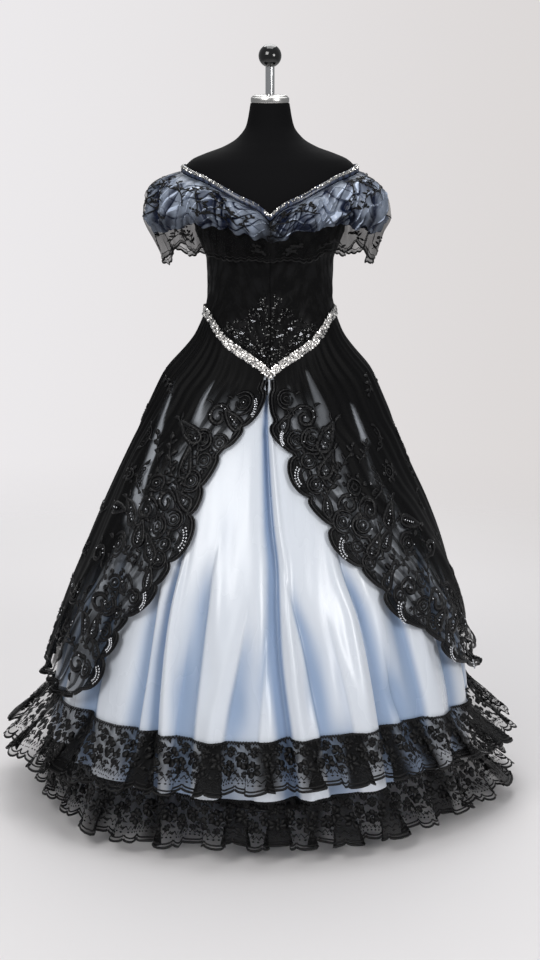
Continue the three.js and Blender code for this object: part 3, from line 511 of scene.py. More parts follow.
class Flounce:
    """A lace strip gathered on a line round the satin. Its places are (part, down): degrees of
    its own length from the centre front, and how far down it is, from 0 to 1. `first_gap` is
    how far off the satin its head is sewn, and `bunches` are the parts that are caught up."""

    def __init__(self, shape, first_gap, bunches):
        self.waves, self.depth, line = shape
        self.head_at, self.edge_at, self.flare_at = (curve(line, i) for i in (1, 2, 3))
        self.first_gap, self.bunches = first_gap, bunches

    def bunched(self, place):
        """1 where several gathers are caught together, down to 0."""
        near = [np.abs(wrapped(place - turn)) for turn in self.bunches]
        return 1 - smoothstep(np.min(near, axis=0), 1.6, 3.4)

    def point(self, part, down):
        place = wrapped(part)
        drift = 30 * np.sin(np.radians(3 * place + 50)) + 20 * np.sin(np.radians(7 * place))
        phase = np.radians(self.waves * place + drift)
        grown = smoothstep(down, -0.35, 1) * down ** 0.7
        uneven = ripple(place / 23, 0, 60 + self.waves)
        doubled = np.clip(0.5 + 0.7 * uneven, 0, 1.3) + 0.9 * self.bunched(place)
        turn = place + doubled * grown * np.sin(2 * phase) * RADIAN / self.waves
        small = 2.4 * np.cos(2.3 * phase + 2 * uneven)
        height = lerp(self.head_at(turn), self.edge_at(turn), down)
        level = np.maximum(height, HEM_HEIGHT)
        smooth = skirt_surface(turn, level)
        away = skirt_surface(turn, level, 1) - smooth
        start = lerp(satin_point(turn, level), smooth, grown[..., None])
        out = self.first_gap + grown * (self.flare_at(turn) + self.depth * np.cos(phase))
        out = out + small * smoothstep(down, 0, 0.4)
        point = start + away * out[..., None]
        point[..., 2] = height + 2 * uneven * down
        return point


upper_flounce = Flounce(UPPER_FLOUNCE, first_gap=4.4, bunches=(
    -164, -140, -118, -97, -75, -52, -29, -12, 2, 13, 24, 34, 45, 57, 72, 90, 112, 131, 158))
lower_flounce = Flounce(LOWER_FLOUNCE, first_gap=-0.6, bunches=(
    -171, -150, -133, -110, -92, -73, -42, -26, -6, 4, 13, 21, 33, 52, 79, 99, 120, 141, 162))

# ---- meshes


def spread(start, end, columns, rows):
    """Numbers across a sheet and its rows, at each point of its grid."""
    return np.meshgrid(np.linspace(start, end, columns), rows)


def grid_faces(rows, columns, closed=False):
    r, c = np.meshgrid(np.arange(rows - 1), np.arange(columns - (not closed)), indexing="ij")
    after = (c + 1) % columns
    corners = (r * columns + c, (r + 1) * columns + c, (r + 1) * columns + after,
               r * columns + after)
    return np.stack(corners, axis=-1).reshape(-1, 4)


def paired(x, y):
    """The places of a path from its two rows of numbers."""
    return np.stack(np.broadcast_arrays(x, y), axis=-1)


def added(name, data):
    """A new object in the scene."""
    thing = bpy.data.objects.new(name, data)
    bpy.context.scene.collection.objects.link(thing)
    return thing


def mesh_piece(name, points, faces, finish, uvs=None, fields=None, smooth=True):
    """A new object from points in millimetres, with a UV map in metres and number fields."""
    mesh = bpy.data.meshes.new(name)
    mesh.from_pydata((np.asarray(points) * MM).tolist(), [], [list(map(int, f)) for f in faces])
    mesh.update()
    if uvs is not None:
        corner = np.empty(len(mesh.loops), int)
        mesh.loops.foreach_get("vertex_index", corner)
        layer = mesh.uv_layers.new(name="cloth")
        layer.data.foreach_set("uv", np.asarray(uvs, float)[corner].ravel())
    for field, values in (fields or {}).items():
        layer = mesh.attributes.new(field, "FLOAT", "POINT")
        layer.data.foreach_set("value", np.asarray(values, float).ravel())
    mesh.materials.append(finish_named(finish))
    if smooth:
        mesh.shade_smooth()
    return added(name, mesh)


def settle(piece, slot, *nodes):
    """The finished piece rides on the gown's one body and stands for these nodes of the frame."""
    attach(piece, "root")
    if nodes:
        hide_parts(*nodes)
    return piece


def lengths(sheet, axis):
    """Distances along the rows (axis 1) or columns (axis 0) of a sheet, from its edge."""
    steps = np.linalg.norm(np.diff(sheet, axis=axis), axis=-1)
    start = np.zeros_like(np.take(steps, [0], axis=axis))
    return np.concatenate([start, np.cumsum(steps, axis=axis)], axis=axis)


def run_along(path):
    """Distances along one line, from its start."""
    return lengths(path[None], 1)[0]


def cloth(name, sheet, finish, slot, nodes, fields=None, wall=0.0):
    """One cut piece of cloth from a grid of points in millimetres, top row first, with a UV map in
    metres measured along its threads. A strip is cut as a rectangle and then gathered, so its
    map runs across by the longest of its rows."""
    rows, columns = sheet.shape[:2]
    along, down = lengths(sheet, 1) * MM, lengths(sheet, 0) * MM
    across = along[np.argmax(along[:, -1])]
    uvs = paired(across, -down).reshape(-1, 2)
    faces = grid_faces(rows, columns)
    piece = mesh_piece(name, sheet.reshape(-1, 3), faces, finish, uvs, fields)
    if wall:
        solid = piece.modifiers.new("Wall", "SOLIDIFY")
        solid.thickness = wall * MM
        solid.offset = -1
    settle(piece, slot, *nodes)
    return piece


def on_cloth(place, step):
    """A cloth's points with the way out of it, as a function of its own two numbers. `step` is a
    small step round it and a small step down it."""
    def surface(a, b):
        here = place(a, b)
        round_it = place(a + step[0], b) - here
        down_it = place(a, b + step[1]) - here
        return here, unit(np.cross(down_it, round_it))
    return surface


def ribbons(name, surface, strokes, finish, slot, thickness, lift=0.5):
    """Raised cords and leaves that lie on a cloth. A stroke is its path in the cloth's own two
    numbers, and its width in millimetres: one for all of it, or one at each point."""
    paths = np.concatenate([path for path, _ in strokes])
    widths = np.concatenate([np.broadcast_to(width, len(path)) for path, width in strokes])
    counts = np.array([len(path) for path, _ in strokes])
    last = np.cumsum(counts) - 1
    first = last - counts + 1
    own_first, own_last = np.repeat(first, counts), np.repeat(last, counts)
    index = np.arange(len(paths))
    centre, out = surface(paths[:, 0], paths[:, 1])
    ahead = centre[np.minimum(index + 1, own_last)] - centre[np.maximum(index - 1, own_first)]
    side = unit(np.cross(unit(ahead), out)) * widths[:, None] / 2
    rise = out * np.minimum(thickness, 0.45 * widths + 0.1)[:, None]
    base = centre + out * lift
    ring = np.stack([base - side, base + rise, base + side], axis=1)
    start = index[index < own_last]
    faces = []
    for corner in range(3):
        near, far = start * 3 + corner, start * 3 + (corner + 1) % 3
        faces += np.stack([near, near + 3, far + 3, far], axis=-1).tolist()
    faces += (first[:, None] * 3 + np.array([0, 1, 2])).tolist()
    faces += (last[:, None] * 3 + np.array([2, 1, 0])).tolist()
    uvs = paired(np.repeat(run_along(centre) * MM, 3), np.tile([0, 1, 2], len(paths)) * MM)
    return settle(mesh_piece(name, ring.reshape(-1, 3), faces, finish, uvs), slot)


def capped(name, rings, top, low, finish, crease):
    """A closed piece from rings of points, the highest first, and the heights of its poles."""
    count, columns = rings.shape[:2]
    points = np.concatenate([rings.reshape(-1, 3), [[0, 0, top], [0, 0, low]]])
    faces = grid_faces(count, columns, closed=True).tolist()
    pole, last = count * columns, (count - 1) * columns
    for c in range(columns):
        after = (c + 1) % columns
        faces += [[pole, c, after], [pole + 1, last + after, last + c]]
    piece = mesh_piece(name, points, faces, finish)
    piece.data.set_sharp_from_angle(angle=math.radians(crease))
    return piece


def spun(name, profile, finish, sides):
    """A turned piece from (radius, height) in millimetres, from the bottom pole to the top."""
    radius, height = np.array(profile[-2:0:-1], float).T[:, :, None]
    angle = np.linspace(0, 2 * np.pi, sides, endpoint=False)
    rings = np.stack(np.broadcast_arrays(radius * np.sin(angle), -radius * np.cos(angle), height),
                     axis=-1)
    return capped(name, rings, profile[-1][1], profile[0][1], finish, crease=32)


# ---- scattered sequins and beads


def feed(node, inputs):
    """Gives each input a number, a colour, another node's output, or a node for its first one."""
    for key, value in inputs.items():
        if isinstance(value, bpy.types.Node):
            value = value.outputs[0]
        if isinstance(value, bpy.types.NodeSocket):
            node.id_data.links.new(value, node.inputs[key])
        else:
            node.inputs[key].default_value = value


def add_node(tree, kind, inputs=None, **settings):
    """Adds a node with its settings and links."""
    node = tree.nodes.new(kind)
    for key, value in settings.items():
        setattr(node, key, value)
    feed(node, inputs or {})
    return node


# Radius of the foot and of the top, and the depth, of what is cut or pressed, for a width of 1.
CUT_SHAPES = {"stone": (0.5, 0.28, 0.3), "sequin": (0.5, 0.12, 0.16)}


def scatter_tree(kind, material):
    """Geometry nodes that set one sequin, bead or cut stone on each point, along its `out`."""
    tree = bpy.data.node_groups.new("Scattered " + kind, "GeometryNodeTree")
    for label, way, socket, default in (
            ("Geometry", "OUTPUT", "Geometry", None), ("Points", "INPUT", "Geometry", None),
            ("Width", "INPUT", "Float", 0.004), ("Tilt", "INPUT", "Float", 0.3),
            ("Seed", "INPUT", "Int", 1)):
        made = tree.interface.new_socket(label, in_out=way, socket_type="NodeSocket" + socket)
        if default is not None:
            made.default_value = default
    given = add_node(tree, "NodeGroupInput").outputs
    if kind == "bead":
        ball = add_node(tree, "GeometryNodeMeshIcoSphere", {"Radius": 0.5, "Subdivisions": 2})
        shape = add_node(tree, "GeometryNodeTransform",
                         {"Geometry": ball, "Scale": (1, 1, 0.8)})
    else:
        bottom, top, depth = CUT_SHAPES[kind]
        shape = add_node(tree, "GeometryNodeMeshCone", {
            "Vertices": 8, "Radius Bottom": bottom, "Radius Top": top, "Depth": depth})
    out = add_node(tree, "GeometryNodeInputNamedAttribute", {"Name": "out"},
                   data_type="FLOAT_VECTOR")
    facing = add_node(tree, "FunctionNodeAlignRotationToVector",
                      {"Vector": out.outputs["Attribute"]}, axis="Z")
    tilt = given["Tilt"]
    least = add_node(tree, "ShaderNodeMath", {0: tilt, 1: -1.0}, operation="MULTIPLY")
    low = add_node(tree, "ShaderNodeCombineXYZ", {"X": least, "Y": least, "Z": 0.0})
    high = add_node(tree, "ShaderNodeCombineXYZ", {"X": tilt, "Y": tilt, "Z": FULL_TURN})
    lean = add_node(tree, "FunctionNodeRandomValue",
                    {"Min": low, "Max": high, "Seed": given["Seed"]},
                    data_type="FLOAT_VECTOR")
    turned = add_node(tree, "FunctionNodeRotateRotation",
                      {"Rotation": facing, "Rotate By": lean.outputs["Value"]},
                      rotation_space="LOCAL")
    placed = add_node(tree, "GeometryNodeInstanceOnPoints",
                      {"Points": given["Points"], "Instance": shape, "Rotation": turned,
                       "Scale": given["Width"]})
    real = add_node(tree, "GeometryNodeRealizeInstances", {"Geometry": placed})
    done = add_node(tree, "GeometryNodeSetMaterial", {"Geometry": real, "Material": material})
    add_node(tree, "NodeGroupOutput", {"Geometry": done})
    return tree


def scattered(name, kind, finish, slot, points, out, width, tilt=0.1):
    """Sequins, beads or cut stones at points in millimetres, made one plain mesh. Their width is
    in metres and the tilt that each may have is in radians."""
    holder = mesh_piece(name + " points", points, [], finish, smooth=False)
    layer = holder.data.attributes.new("out", "FLOAT_VECTOR", "POINT")
    layer.data.foreach_set("vector", unit(out).ravel())
    tree = scatter_tree(kind, finish_named(finish))
    modifier = holder.modifiers.new("Scatter", "NODES")
    modifier.node_group = tree
    seed = bpy.context.scene.gown_sizes.seed
    socket = {item.name: item.identifier for item in tree.interface.items_tree}
    for label, value in (("Width", width), ("Tilt", tilt), ("Seed", seed)):
        modifier[socket[label]] = value
    bpy.context.view_layer.update()
    seen = holder.evaluated_get(bpy.context.evaluated_depsgraph_get())
    mesh = bpy.data.meshes.new_from_object(seen)
    holder.modifiers.clear()
    bpy.data.objects.remove(holder)
    mesh.name = name
    if not len(mesh.polygons):
        raise RuntimeError(name + " came out empty")
    if kind == "bead":
        mesh.shade_smooth()
    else:
        mesh.shade_flat()
    return settle(added(name, mesh), slot)


# ---- materials


def linear(colour):
    """A colour such as #B9C6DF as the linear numbers that shaders take."""
    parts = [int(colour[i:i + 2], 16) / 255 for i in (1, 3, 5)]
    return tuple(p / 12.92 if p <= 0.04045 else ((p + 0.055) / 1.055) ** 2.4 for p in parts)


def rgba(colour):
    return (*(linear(colour) if isinstance(colour, str) else colour), 1.0)


def spaced(settings):
    """Settings with the names that a node's inputs have."""
    return {key.replace("_", " "): value for key, value in settings.items()}


def shader(name, colour, roughness, **settings):
    """A material with one Principled shader, its tree and that shader."""
    material = bpy.data.materials.new(name)
    material.use_nodes = True
    tree = material.node_tree
    tree.nodes.clear()
    body = add_node(tree, "ShaderNodeBsdfPrincipled",
                    {"Base Color": rgba(colour), "Roughness": roughness, **spaced(settings)})
    add_node(tree, "ShaderNodeOutputMaterial", {"Surface": body})
    return material, tree, body


def pattern(tree, kind, space, scale, stretch=(1, 1, 1), inputs=None, **settings):
    """A texture node over the cloth's UV in metres or the object's own metres."""
    where = add_node(tree, "ShaderNodeTexCoord").outputs["UV" if space == "cloth" else "Object"]
    sized = add_node(tree, "ShaderNodeMapping", {"Vector": where, "Scale": stretch})
    return add_node(tree, "ShaderNodeTex" + kind,
                    {"Vector": sized, "Scale": scale, **(inputs or {})}, **settings)


def banded(ramp, *stops):
    """Gives a colour ramp its (place, colour) stops."""
    elements = ramp.color_ramp.elements
    while len(elements) < len(stops):
        elements.new(0.5)
    ramp.color_ramp.interpolation = "EASE"
    for element, (place, colour) in zip(elements, stops):
        element.position = place
        element.color = rgba(colour)
    return ramp


def satin(name, colour, shade, gloss=0.2, threads_deep=0.35):
    """Polyester bridal satin, woven with long floats: a soft wide gloss that runs white on the
    crests. In its folds and creases its colour is painted a deeper, darker blue, as the cloth
    would light and shade itself there: painted shade, with uneven tone."""
    material, tree, body = shader(name, colour, 0.3, Specular_IOR_Level=0.55)
    # The weave is 0.1 mm and can't show, so its drawn threads are 1.5 mm apart and very faint.
    threads, cloudy = (
        pattern(tree, "Noise", "cloth", 1.0, stretch, {"Detail": detail})
        for stretch, detail in (((650, 18, 1), 2.0), ((9, 4, 1), 3.0)))
    # Painted shade: the attribute read here moves the colour towards `shade` in folds and creases,
    # and in uneven patches.
    painted_shade_and_tone = add_node(tree, "ShaderNodeAttribute", attribute_name="painted_shade_and_tone").outputs["Fac"]
    mixed, rough = (
        add_node(tree, "ShaderNodeMath", {0: cloudy, 1: share, 2: start}, operation="MULTIPLY_ADD")
        for share, start in ((0.16, painted_shade_and_tone), (0.14, gloss)))
    tinted = banded(add_node(tree, "ShaderNodeValToRGB", {"Fac": mixed}),
                    (0.0, colour), (0.2, colour), (1.0, shade))
    raised = add_node(tree, "ShaderNodeBump",
                      {"Height": threads, "Distance": 0.0002, "Strength": threads_deep})
    feed(body, {"Base Color": tinted, "Roughness": rough, "Normal": raised})
    return material


def sheer(name, colour, hole, thread, gloss=0.55):
    """Nylon net: threads round holes of one size, denser where the attribute `cover` says that
    it is gathered or worked over."""
    material, tree, body = shader(name, colour, gloss, Specular_IOR_Level=0.1)
    # Real tulle has holes of 1 mm, too fine to show, so they are drawn at `hole`.
    cells = pattern(tree, "Voronoi", "cloth", 1.0 / hole, inputs={"Randomness": 0.35},
                    feature="DISTANCE_TO_EDGE")
    threads = add_node(tree, "ShaderNodeMapRange",
                       {"Value": cells.outputs["Distance"], "From Min": 0.05, "From Max": 0.28,
                        "To Min": thread, "To Max": 0.0})
    cover = add_node(tree, "ShaderNodeAttribute", attribute_name="cover").outputs["Fac"]
    feed(body, {"Alpha": add_node(tree, "ShaderNodeMath", {0: threads, 1: cover},
                                  operation="ADD", use_clamp=True)})
    return material


def twisted_cord(name, colour, gloss, twist=0.0022, painted_sheen="#121215"):
    """Rayon embroidery cord: a twisted thread with a low shine, and each turn painted lighter on
    its crest: a painted sheen.
    """
    material, tree, body = shader(name, colour, gloss, Specular_IOR_Level=0.3)
    # Real thread turns in under 1 mm, too fine to show, so its turns are drawn at `twist`.
    turns = pattern(tree, "Wave", "cloth", 1.0 / twist / FULL_TURN, inputs={"Distortion": 0.6},
                    wave_type="BANDS", bands_direction="DIAGONAL").outputs["Fac"]
    # Painted sheen: each turn of the twist is painted lighter on its crest than in its groove.
    shades = banded(add_node(tree, "ShaderNodeValToRGB", {"Fac": turns}),
                    (0.1, colour), (1.0, painted_sheen))
    raised = add_node(tree, "ShaderNodeBump",
                      {"Height": turns, "Distance": 0.0005, "Strength": 0.5})
    feed(body, {"Base Color": shades, "Normal": raised})
    return material


def corded_lace(name, colour):
    """Corded lace laid on a dull black cloth: raised flowers, about 30 mm wide and a little
    glossier than the cloth."""
    material, tree, body = shader(name, colour, 0.7, Specular_IOR_Level=0.14)
    flowers = pattern(tree, "Voronoi", "cloth", 34.0,
                      inputs={"Randomness": 0.9, "Smoothness": 0.35}, feature="SMOOTH_F1")
    vines = pattern(tree, "Noise", "cloth", 46.0, inputs={"Detail": 4.0, "Distortion": 2.2})
    both = add_node(tree, "ShaderNodeMath", {0: flowers.outputs["Distance"], 1: vines},
                    operation="MULTIPLY")
    relief = add_node(tree, "ShaderNodeMapRange",
                      {"Value": both, "From Min": 0.12, "From Max": 0.34})
    shades = banded(add_node(tree, "ShaderNodeValToRGB", {"Fac": relief}),
                    (0.0, "#0B0B0D"), (0.55, "#050506"), (1.0, "#030304"))
    rough = add_node(tree, "ShaderNodeMapRange", {"Value": relief, "To Min": 0.42, "To Max": 0.8})
    raised = add_node(tree, "ShaderNodeBump",
                      {"Height": relief, "Distance": 0.0009, "Strength": 0.6})
    feed(body, {"Base Color": shades, "Roughness": rough, "Normal": raised})
    return material


def plain(name, colour, roughness, grain=None, deep=None, shine=None, **settings):
    """A finish of one colour. Its grain is given by scale, stretch and detail; it rises by a
    distance and strength, `deep`, and moves the roughness over a range, `shine`."""
    material, tree, body = shader(name, colour, roughness, **settings)
    if grain:
        scale, stretch, detail = grain
        marks = pattern(tree, "Noise", "object", scale, stretch, {"Detail": detail})
        if deep:
            feed(body, {"Normal": add_node(tree, "ShaderNodeBump", {
                "Height": marks, "Distance": deep[0], "Strength": deep[1]})})
        if shine:
            feed(body, {"Roughness": add_node(tree, "ShaderNodeMapRange", {
                "Value": marks, "To Min": shine[0], "To Max": shine[1]})})
    return material


def make_materials():
    """Every finish of the gown and its stand, by plain name."""
    colours, sizes = bpy.context.scene.gown_colours, bpy.context.scene.gown_sizes
    pale, shade, net, lace, cord = (tuple(getattr(colours, key)) for key in (
        "satin", "satin_shade", "net", "lace", "cord"))
    made = {
        "satin": satin("Polyester bridal satin", pale, shade),
        # The bertha's gathered satin is painted a deep navy in its creases, far darker than the
        # skirt's: painted shade.
        "puff satin": satin("Polyester bridal satin, gathered", linear("#B9C6DC"),
                            linear("#1D2D52"), 0.22, 0.15),
        "binding": satin("Satin binding under tulle", linear("#3C465E"), linear("#141A2A")),
        "net": sheer("Black nylon tulle", net, sizes.net_hole, 0.16),
        "border": sheer("Black embroidered net border", lace, 0.0022, 0.3, 0.5),
        "lace": sheer("Black nylon lace ground", lace, 0.003, 0.14, 0.6),
        # Both cords are painted lighter on the crests of their turns: painted sheen.
        "cord": twisted_cord("Black rayon cord", cord, 0.4),
        "motif": twisted_cord("Black satin stitch", lace, 0.5, 0.0016, "#08080A"),
        "bodice": corded_lace("Black corded lace over crepe", "#070708"),
        # Knitted jersey: matt, with an upright rib, 1 mm wide, that catches light at the edge.
        "jersey": plain("Black cotton jersey", "#09090B", 0.85, (900.0, (1, 1, 0.35), 2.0),
                        (0.0003, 0.5), Specular_IOR_Level=0.12),
        # Metallised film: mirrors with a slight haze.
        "sequin": plain("Silver film sequin", "#EFEDEA", 0.26, Metallic=1.0),
        # Glass lies over metal foil or a silver lining, or is black all through, and is bright.
        "stone": plain("Foil-backed glass rhinestone", "#DAD8D4", 0.1, Metallic=0.9,
                       Coat_Weight=0.6, Coat_Roughness=0.03),
        "smoke": plain("Silver-lined glass bead", "#C4C6CB", 0.14, Metallic=0.85),
        "jet": plain("Black glass bead", "#040405", 0.1, Specular_IOR_Level=0.8),
        # Turned and brushed: rings of tool marks stretch a highlight sideways. Real marks are
        # too fine to show, so they are drawn 0.4 mm apart.
        "aluminium": plain("Turned aluminium", "#C9C8C6", 0.3, (1.0, (8, 8, 2600), 3.0),
                           (0.0002, 0.5), (0.2, 0.42), Metallic=1.0),
        # Plated steel tube, polished, with faint wiping marks.
        "chrome": plain("Polished chrome", "#D9DADC", 0.08, (60.0, (1, 1, 4), 4.0), None,
                        (0.05, 0.2), Metallic=1.0),
        # Moulded, so deep black with a wet gloss over a faint orange peel.
        "knob": plain("Black moulded phenolic", "#070708", 0.12, (260.0, (1, 1, 1), 2.0),
                      (0.0001, 0.3), Specular_IOR_Level=0.55, Coat_Weight=0.4,
                      Coat_Roughness=0.05),
        # Powder coat melts to an even fine grain.
        "powder coat": plain("Black powder coat on steel", "#131315", 0.5,
                             (1400.0, (1, 1, 1), 2.0), (0.0002, 0.6)),
    }
    # Braid of metallised yarn under the sequins: its plait is a few millimetres across.
    made["braid"], tree, body = shader("Silver lurex braid", "#3E3F43", 0.5, Metallic=0.8)
    plait = pattern(tree, "Voronoi", "cloth", 420.0, inputs={"Randomness": 0.5})
    feed(body, {"Normal": add_node(tree, "ShaderNodeBump", {
        "Height": plait.outputs["Distance"], "Distance": 0.0008, "Strength": 0.8})})
    # Matt paper, which fades into the air towards its rim.
    made["paper"], tree, body = shader("Matt pale paper", "#DEDCDD", 0.95, Specular_IOR_Level=0.1)
    mottle = pattern(tree, "Noise", "object", 0.7, inputs={"Detail": 1.0})
    mottled = banded(add_node(tree, "ShaderNodeValToRGB", {"Fac": mottle}),
                     (0.3, "#DCDADB"), (0.7, "#E0DEDF"))
    where = add_node(tree, "ShaderNodeTexCoord").outputs["Object"]
    far = add_node(tree, "ShaderNodeVectorMath", {0: where}, operation="LENGTH")
    faded = add_node(tree, "ShaderNodeMapRange",
                     {"Value": far.outputs["Value"], "From Min": 0.9, "From Max": 3.6,
                      "To Min": 1.0, "To Max": 0.0}, interpolation_type="SMOOTHSTEP")
    feed(body, {"Base Color": mottled, "Alpha": faded})
    return made


FINISHES = {}


def finish_named(name):
    """One of the finishes, which are all made the first time that one is asked for."""
    if not FINISHES:
        FINISHES.update(make_materials())
    return FINISHES[name]


# ---- embroidery patterns

# Drawn flat in millimetres, x to one side and y up: strokes, each a path and its width, and the
# places of beads.


def toward(angle, far=1.0):
    """A step at an angle in degrees."""
    return far * np.array([math.cos(math.radians(angle)), math.sin(math.radians(angle))])


def turned_by(path, angle):
    c, s = toward(angle)
    return path @ np.array([[c, s], [-s, c]])


def taper(count, wide, ends=0.35):
    part = np.sin(np.linspace(0, np.pi, count)) ** 0.6
    return wide * (ends + (1 - ends) * part)


def arc(x, y, across, tall, start, end, count):
    angle = np.radians(np.linspace(start, end, count))
    return paired(x + across * np.cos(angle), y + tall * np.sin(angle))


def leaf(x, y, angle, length, wide, bend=0.15):
    along = np.linspace(0, 1, 5)
    path = turned_by(paired(along * length, bend * length * np.sin(np.pi * along)), angle)
    return path + (x, y), wide * np.array([0.25, 0.85, 1, 0.75, 0.12])


def leaves(*given):
    return [leaf(*one) for one in given]


def scroll_motif():
    """A C-scroll that curls in on itself, with a ladder of short bars and three leaves."""
    turns = np.linspace(0, 1, 20)
    radius, angle = lerp(22, 5, turns ** 0.8), np.radians(lerp(200, -250, turns))
    spiral = paired(radius * np.cos(angle), radius * np.sin(angle) * 1.15)
    strokes = [(spiral, taper(20, 8, 0.5)), (arc(0, 0, 14, 16, 190, 20, 12), taper(12, 2.2))]
    for angle in np.linspace(180, 40, 7):
        step = toward(angle)
        strokes.append((np.array([step * (15.5, 18), step * (21, 24)]), 1.3))
    strokes += leaves((-20, -8, 250, 20, 7), (16, -14, 300, 18, 6), (4, 26, 60, 15, 5))
    return strokes, [(0, 0), (-9, 14), (6, 18), (12, 10), (-14, 6)]


def paisley_motif():
    """A drop-shaped leaf: a thick outline, an inner line, bars and beads down its middle."""
    t = np.linspace(0, 2 * np.pi, 20)
    drop = paired(15 * np.sin(t) * np.sin(t / 2) ** 1.5, 26 * np.cos(t))
    strokes = [(drop, 7.5), (drop * 0.58, 2)]
    strokes += [(np.array([[-8.5, y], [8.5, y - 2]]), 1.7) for y in (-17, -10, -3, 4)]
    strokes += leaves((2, 26, 70, 18, 6), (-2, 26, 130, 14, 5), (0, -28, 220, 15, 6),
                      (0, -28, 320, 15, 6))
    return strokes, [(0, y) for y in (-18, -12, -6, 0, 6)]


def rosette_motif():
    strokes = [(arc(0, 0, 6, 6, 0, 360, 13), 4.2),
               (arc(0, 0, 14, 14, 10, 350, 16), taper(16, 6, 0.6))]
    for angle in np.arange(7) * 51.4 + 12:
        strokes.append(leaf(*toward(angle, 17), angle, 11, 8.5, 0.05))
    return strokes, [(0, 0)]


def wheel_motif():
    """Rings inside rings, open to one side, as the borders have behind their scallops."""
    strokes = [(arc(0, 0, 5.5, 5.5, 0, 360, 12), 4),
               (arc(0, 0, 13, 13, 60, 400, 18), taper(18, 5, 0.6)),
               (arc(2, 0, 21, 21, 70, 330, 18), taper(18, 6.5, 0.4))]
    return strokes + leaves((16, 16, 50, 16, 7), (14, -17, 310, 16, 7)), [(0, 0), (17, 0)]


def sprig_motif():
    stem = paired(6 * np.sin(np.linspace(-1.4, 1.5, 10)), np.linspace(-24, 24, 10))
    strokes = [(stem, taper(10, 3, 0.6))]
    for i, y in enumerate((-18, -10, -2, 7, 15)):
        side = 1 if i % 2 else -1
        strokes.append(leaf(6 * math.sin(y / 17), y, 90 - side * 55, 14, 7.5, 0.12 * side))
    return strokes + leaves((6, 23, 80, 12, 7.5)), []


def berry_motif():
    strokes = [(arc(0, 0, 20, 26, -60, 75, 14), taper(14, 5, 0.4))]
    for angle in np.linspace(-50, 60, 5):
        x, y = toward(angle) * (14, 19)
        strokes.append((arc(x - 2, y, 3.4, 3.4, 0, 360, 8), 2.6))
    strokes += leaves((10, -23, 200, 16, 6), (6, 26, 150, 16, 6), (20, 2, 20, 10, 5))
    return strokes, [(-1, 0)]


MOTIFS = (scroll_motif, paisley_motif, rosette_motif, berry_motif, sprig_motif, wheel_motif)
STITCH = 1.3                     # how much wider than drawn the satin stitch is


def placed_on_skirt(motif, turn, height, angle, scale, flip):
    """A pattern's strokes and beads laid on the skirt, as turns and heights."""
    c, s = toward(angle)
    per_degree = float(pace(np.array(turn), np.array(height)))

    def laid(points):
        x, y = np.asarray(points, float).reshape(-1, 2).T * scale
        x, y = flip * x * c - y * s, flip * x * s + y * c
        return paired(turn + x / per_degree, height + 0.93 * y)

    strokes, beads = motif()
    return [(laid(path), width * scale * STITCH) for path, width in strokes], laid(beads)


def lace_repeat():
    """One repeat of the flounce lace, with its edge at y = 0: two scallops with a double line,
    a row of diamonds, zigzags, five roses from large to small and leaves between them."""
    strokes = []
    for middle in (18, 54):
        for inset, wide in ((0, 5.0), (7.4, 3.6)):
            strokes.append((arc(middle, 8 + inset, 17.4, 7.6, 180, 360, 9), wide))
        for x in (-12, -4, 4, 12):
            strokes.append((paired(middle + x + np.array([-2.4, 0, 2.4]), 20),
                            np.array([0.4, 4.4, 0.4])))
        for level, deep, wide in ((28, 3.5, 2.8), (103, 2.6, 5.0)):
            zigzag = level + deep * np.cos(np.arange(9) * np.pi)
            strokes.append((paired(np.linspace(middle - 18, middle + 18, 9), zigzag), wide))
    petal = np.array([[3, -1], [8, 1], [12, 0]])
    # Roses: their middle and size. Below them the leaves: root, angle and length.
    for x, y, size in ((17, 66, 1.5), (53, 50, 1.35), (54, 84, 1.0), (18, 37, 0.62),
                       (36, 94, 0.5)):
        for angle in np.arange(0, 360, 60) + 20 * size:
            strokes.append((turned_by(petal * size, angle) + (x, y),
                            np.array([4, 10, 6]) * size))
        strokes.append((paired(x + np.array([-2.5, 0, 2.5]), y), np.array([1, 5, 1]) * size))
    for x, y, angle, length in (
            (33, 76, 20, 14), (34, 58, -40, 14), (2, 48, 230, 14), (0, 84, 130, 14),
            (36, 52, 200, 12), (70, 64, 60, 15), (70, 40, -30, 13), (36, 38, 150, 15),
            (36, 30, 190, 12), (72, 78, 30, 12), (40, 90, 170, 14), (6, 92, 100, 12),
            (26, 90, 80, 13), (68, 98, 70, 10), (58, 34, 250, 9), (8, 32, 120, 11)):
        path, wide = leaf(x, y, angle, length, 6.0)
        strokes.append((path[::2], wide[::2]))
    return strokes


# ---- operators


def width_of(name, description, default, least, most):
    """A size that a user may change, from millimetres."""
    return FloatProperty(name=name, description=description, default=default * MM,
                         min=least * MM, max=most * MM, subtype="DISTANCE", unit="LENGTH")


def colour_of(name, description, default):
    return FloatVectorProperty(name=name, description=description, subtype="COLOR",
                               default=linear(default), min=0, max=1)


class GownSizes(bpy.types.PropertyGroup):
    """Sizes of the trimmings"""

    sequin: width_of("Sequin", "Width of one silver sequin", 7.4, 2, 10)
    stone: width_of("Rhinestone", "Width of one rhinestone at the neck", 4.2, 2, 8)
    bead: width_of("Bead", "Width of one bead in the embroidery", 3.4, 1.5, 6)
    net_hole: width_of("Net hole", "Width of the holes drawn in the tulle", 2.6, 1, 6)
    cord: width_of("Edging cord", "Width of the cord round each scallop", 3.6, 1, 6)
    seed: IntProperty(name="Seed", description="Changes how sequins and beads are tilted",
                      default=7, min=0)


class GownColours(bpy.types.PropertyGroup):
    """Colours of the cloth"""

    satin: colour_of("Satin", "The satin where light falls on it", "#D7DDE6")
    # The deeper blue that is painted into the satin's folds and creases: painted shade.
    satin_shade: colour_of("Satin hollows", "The satin in its folds", "#92A6C3")
    net: colour_of("Net", "Tulle", "#060607")
    lace: colour_of("Lace", "Lace and satin stitch", "#060607")
    cord: colour_of("Cord", "Embroidery cord", "#050506")


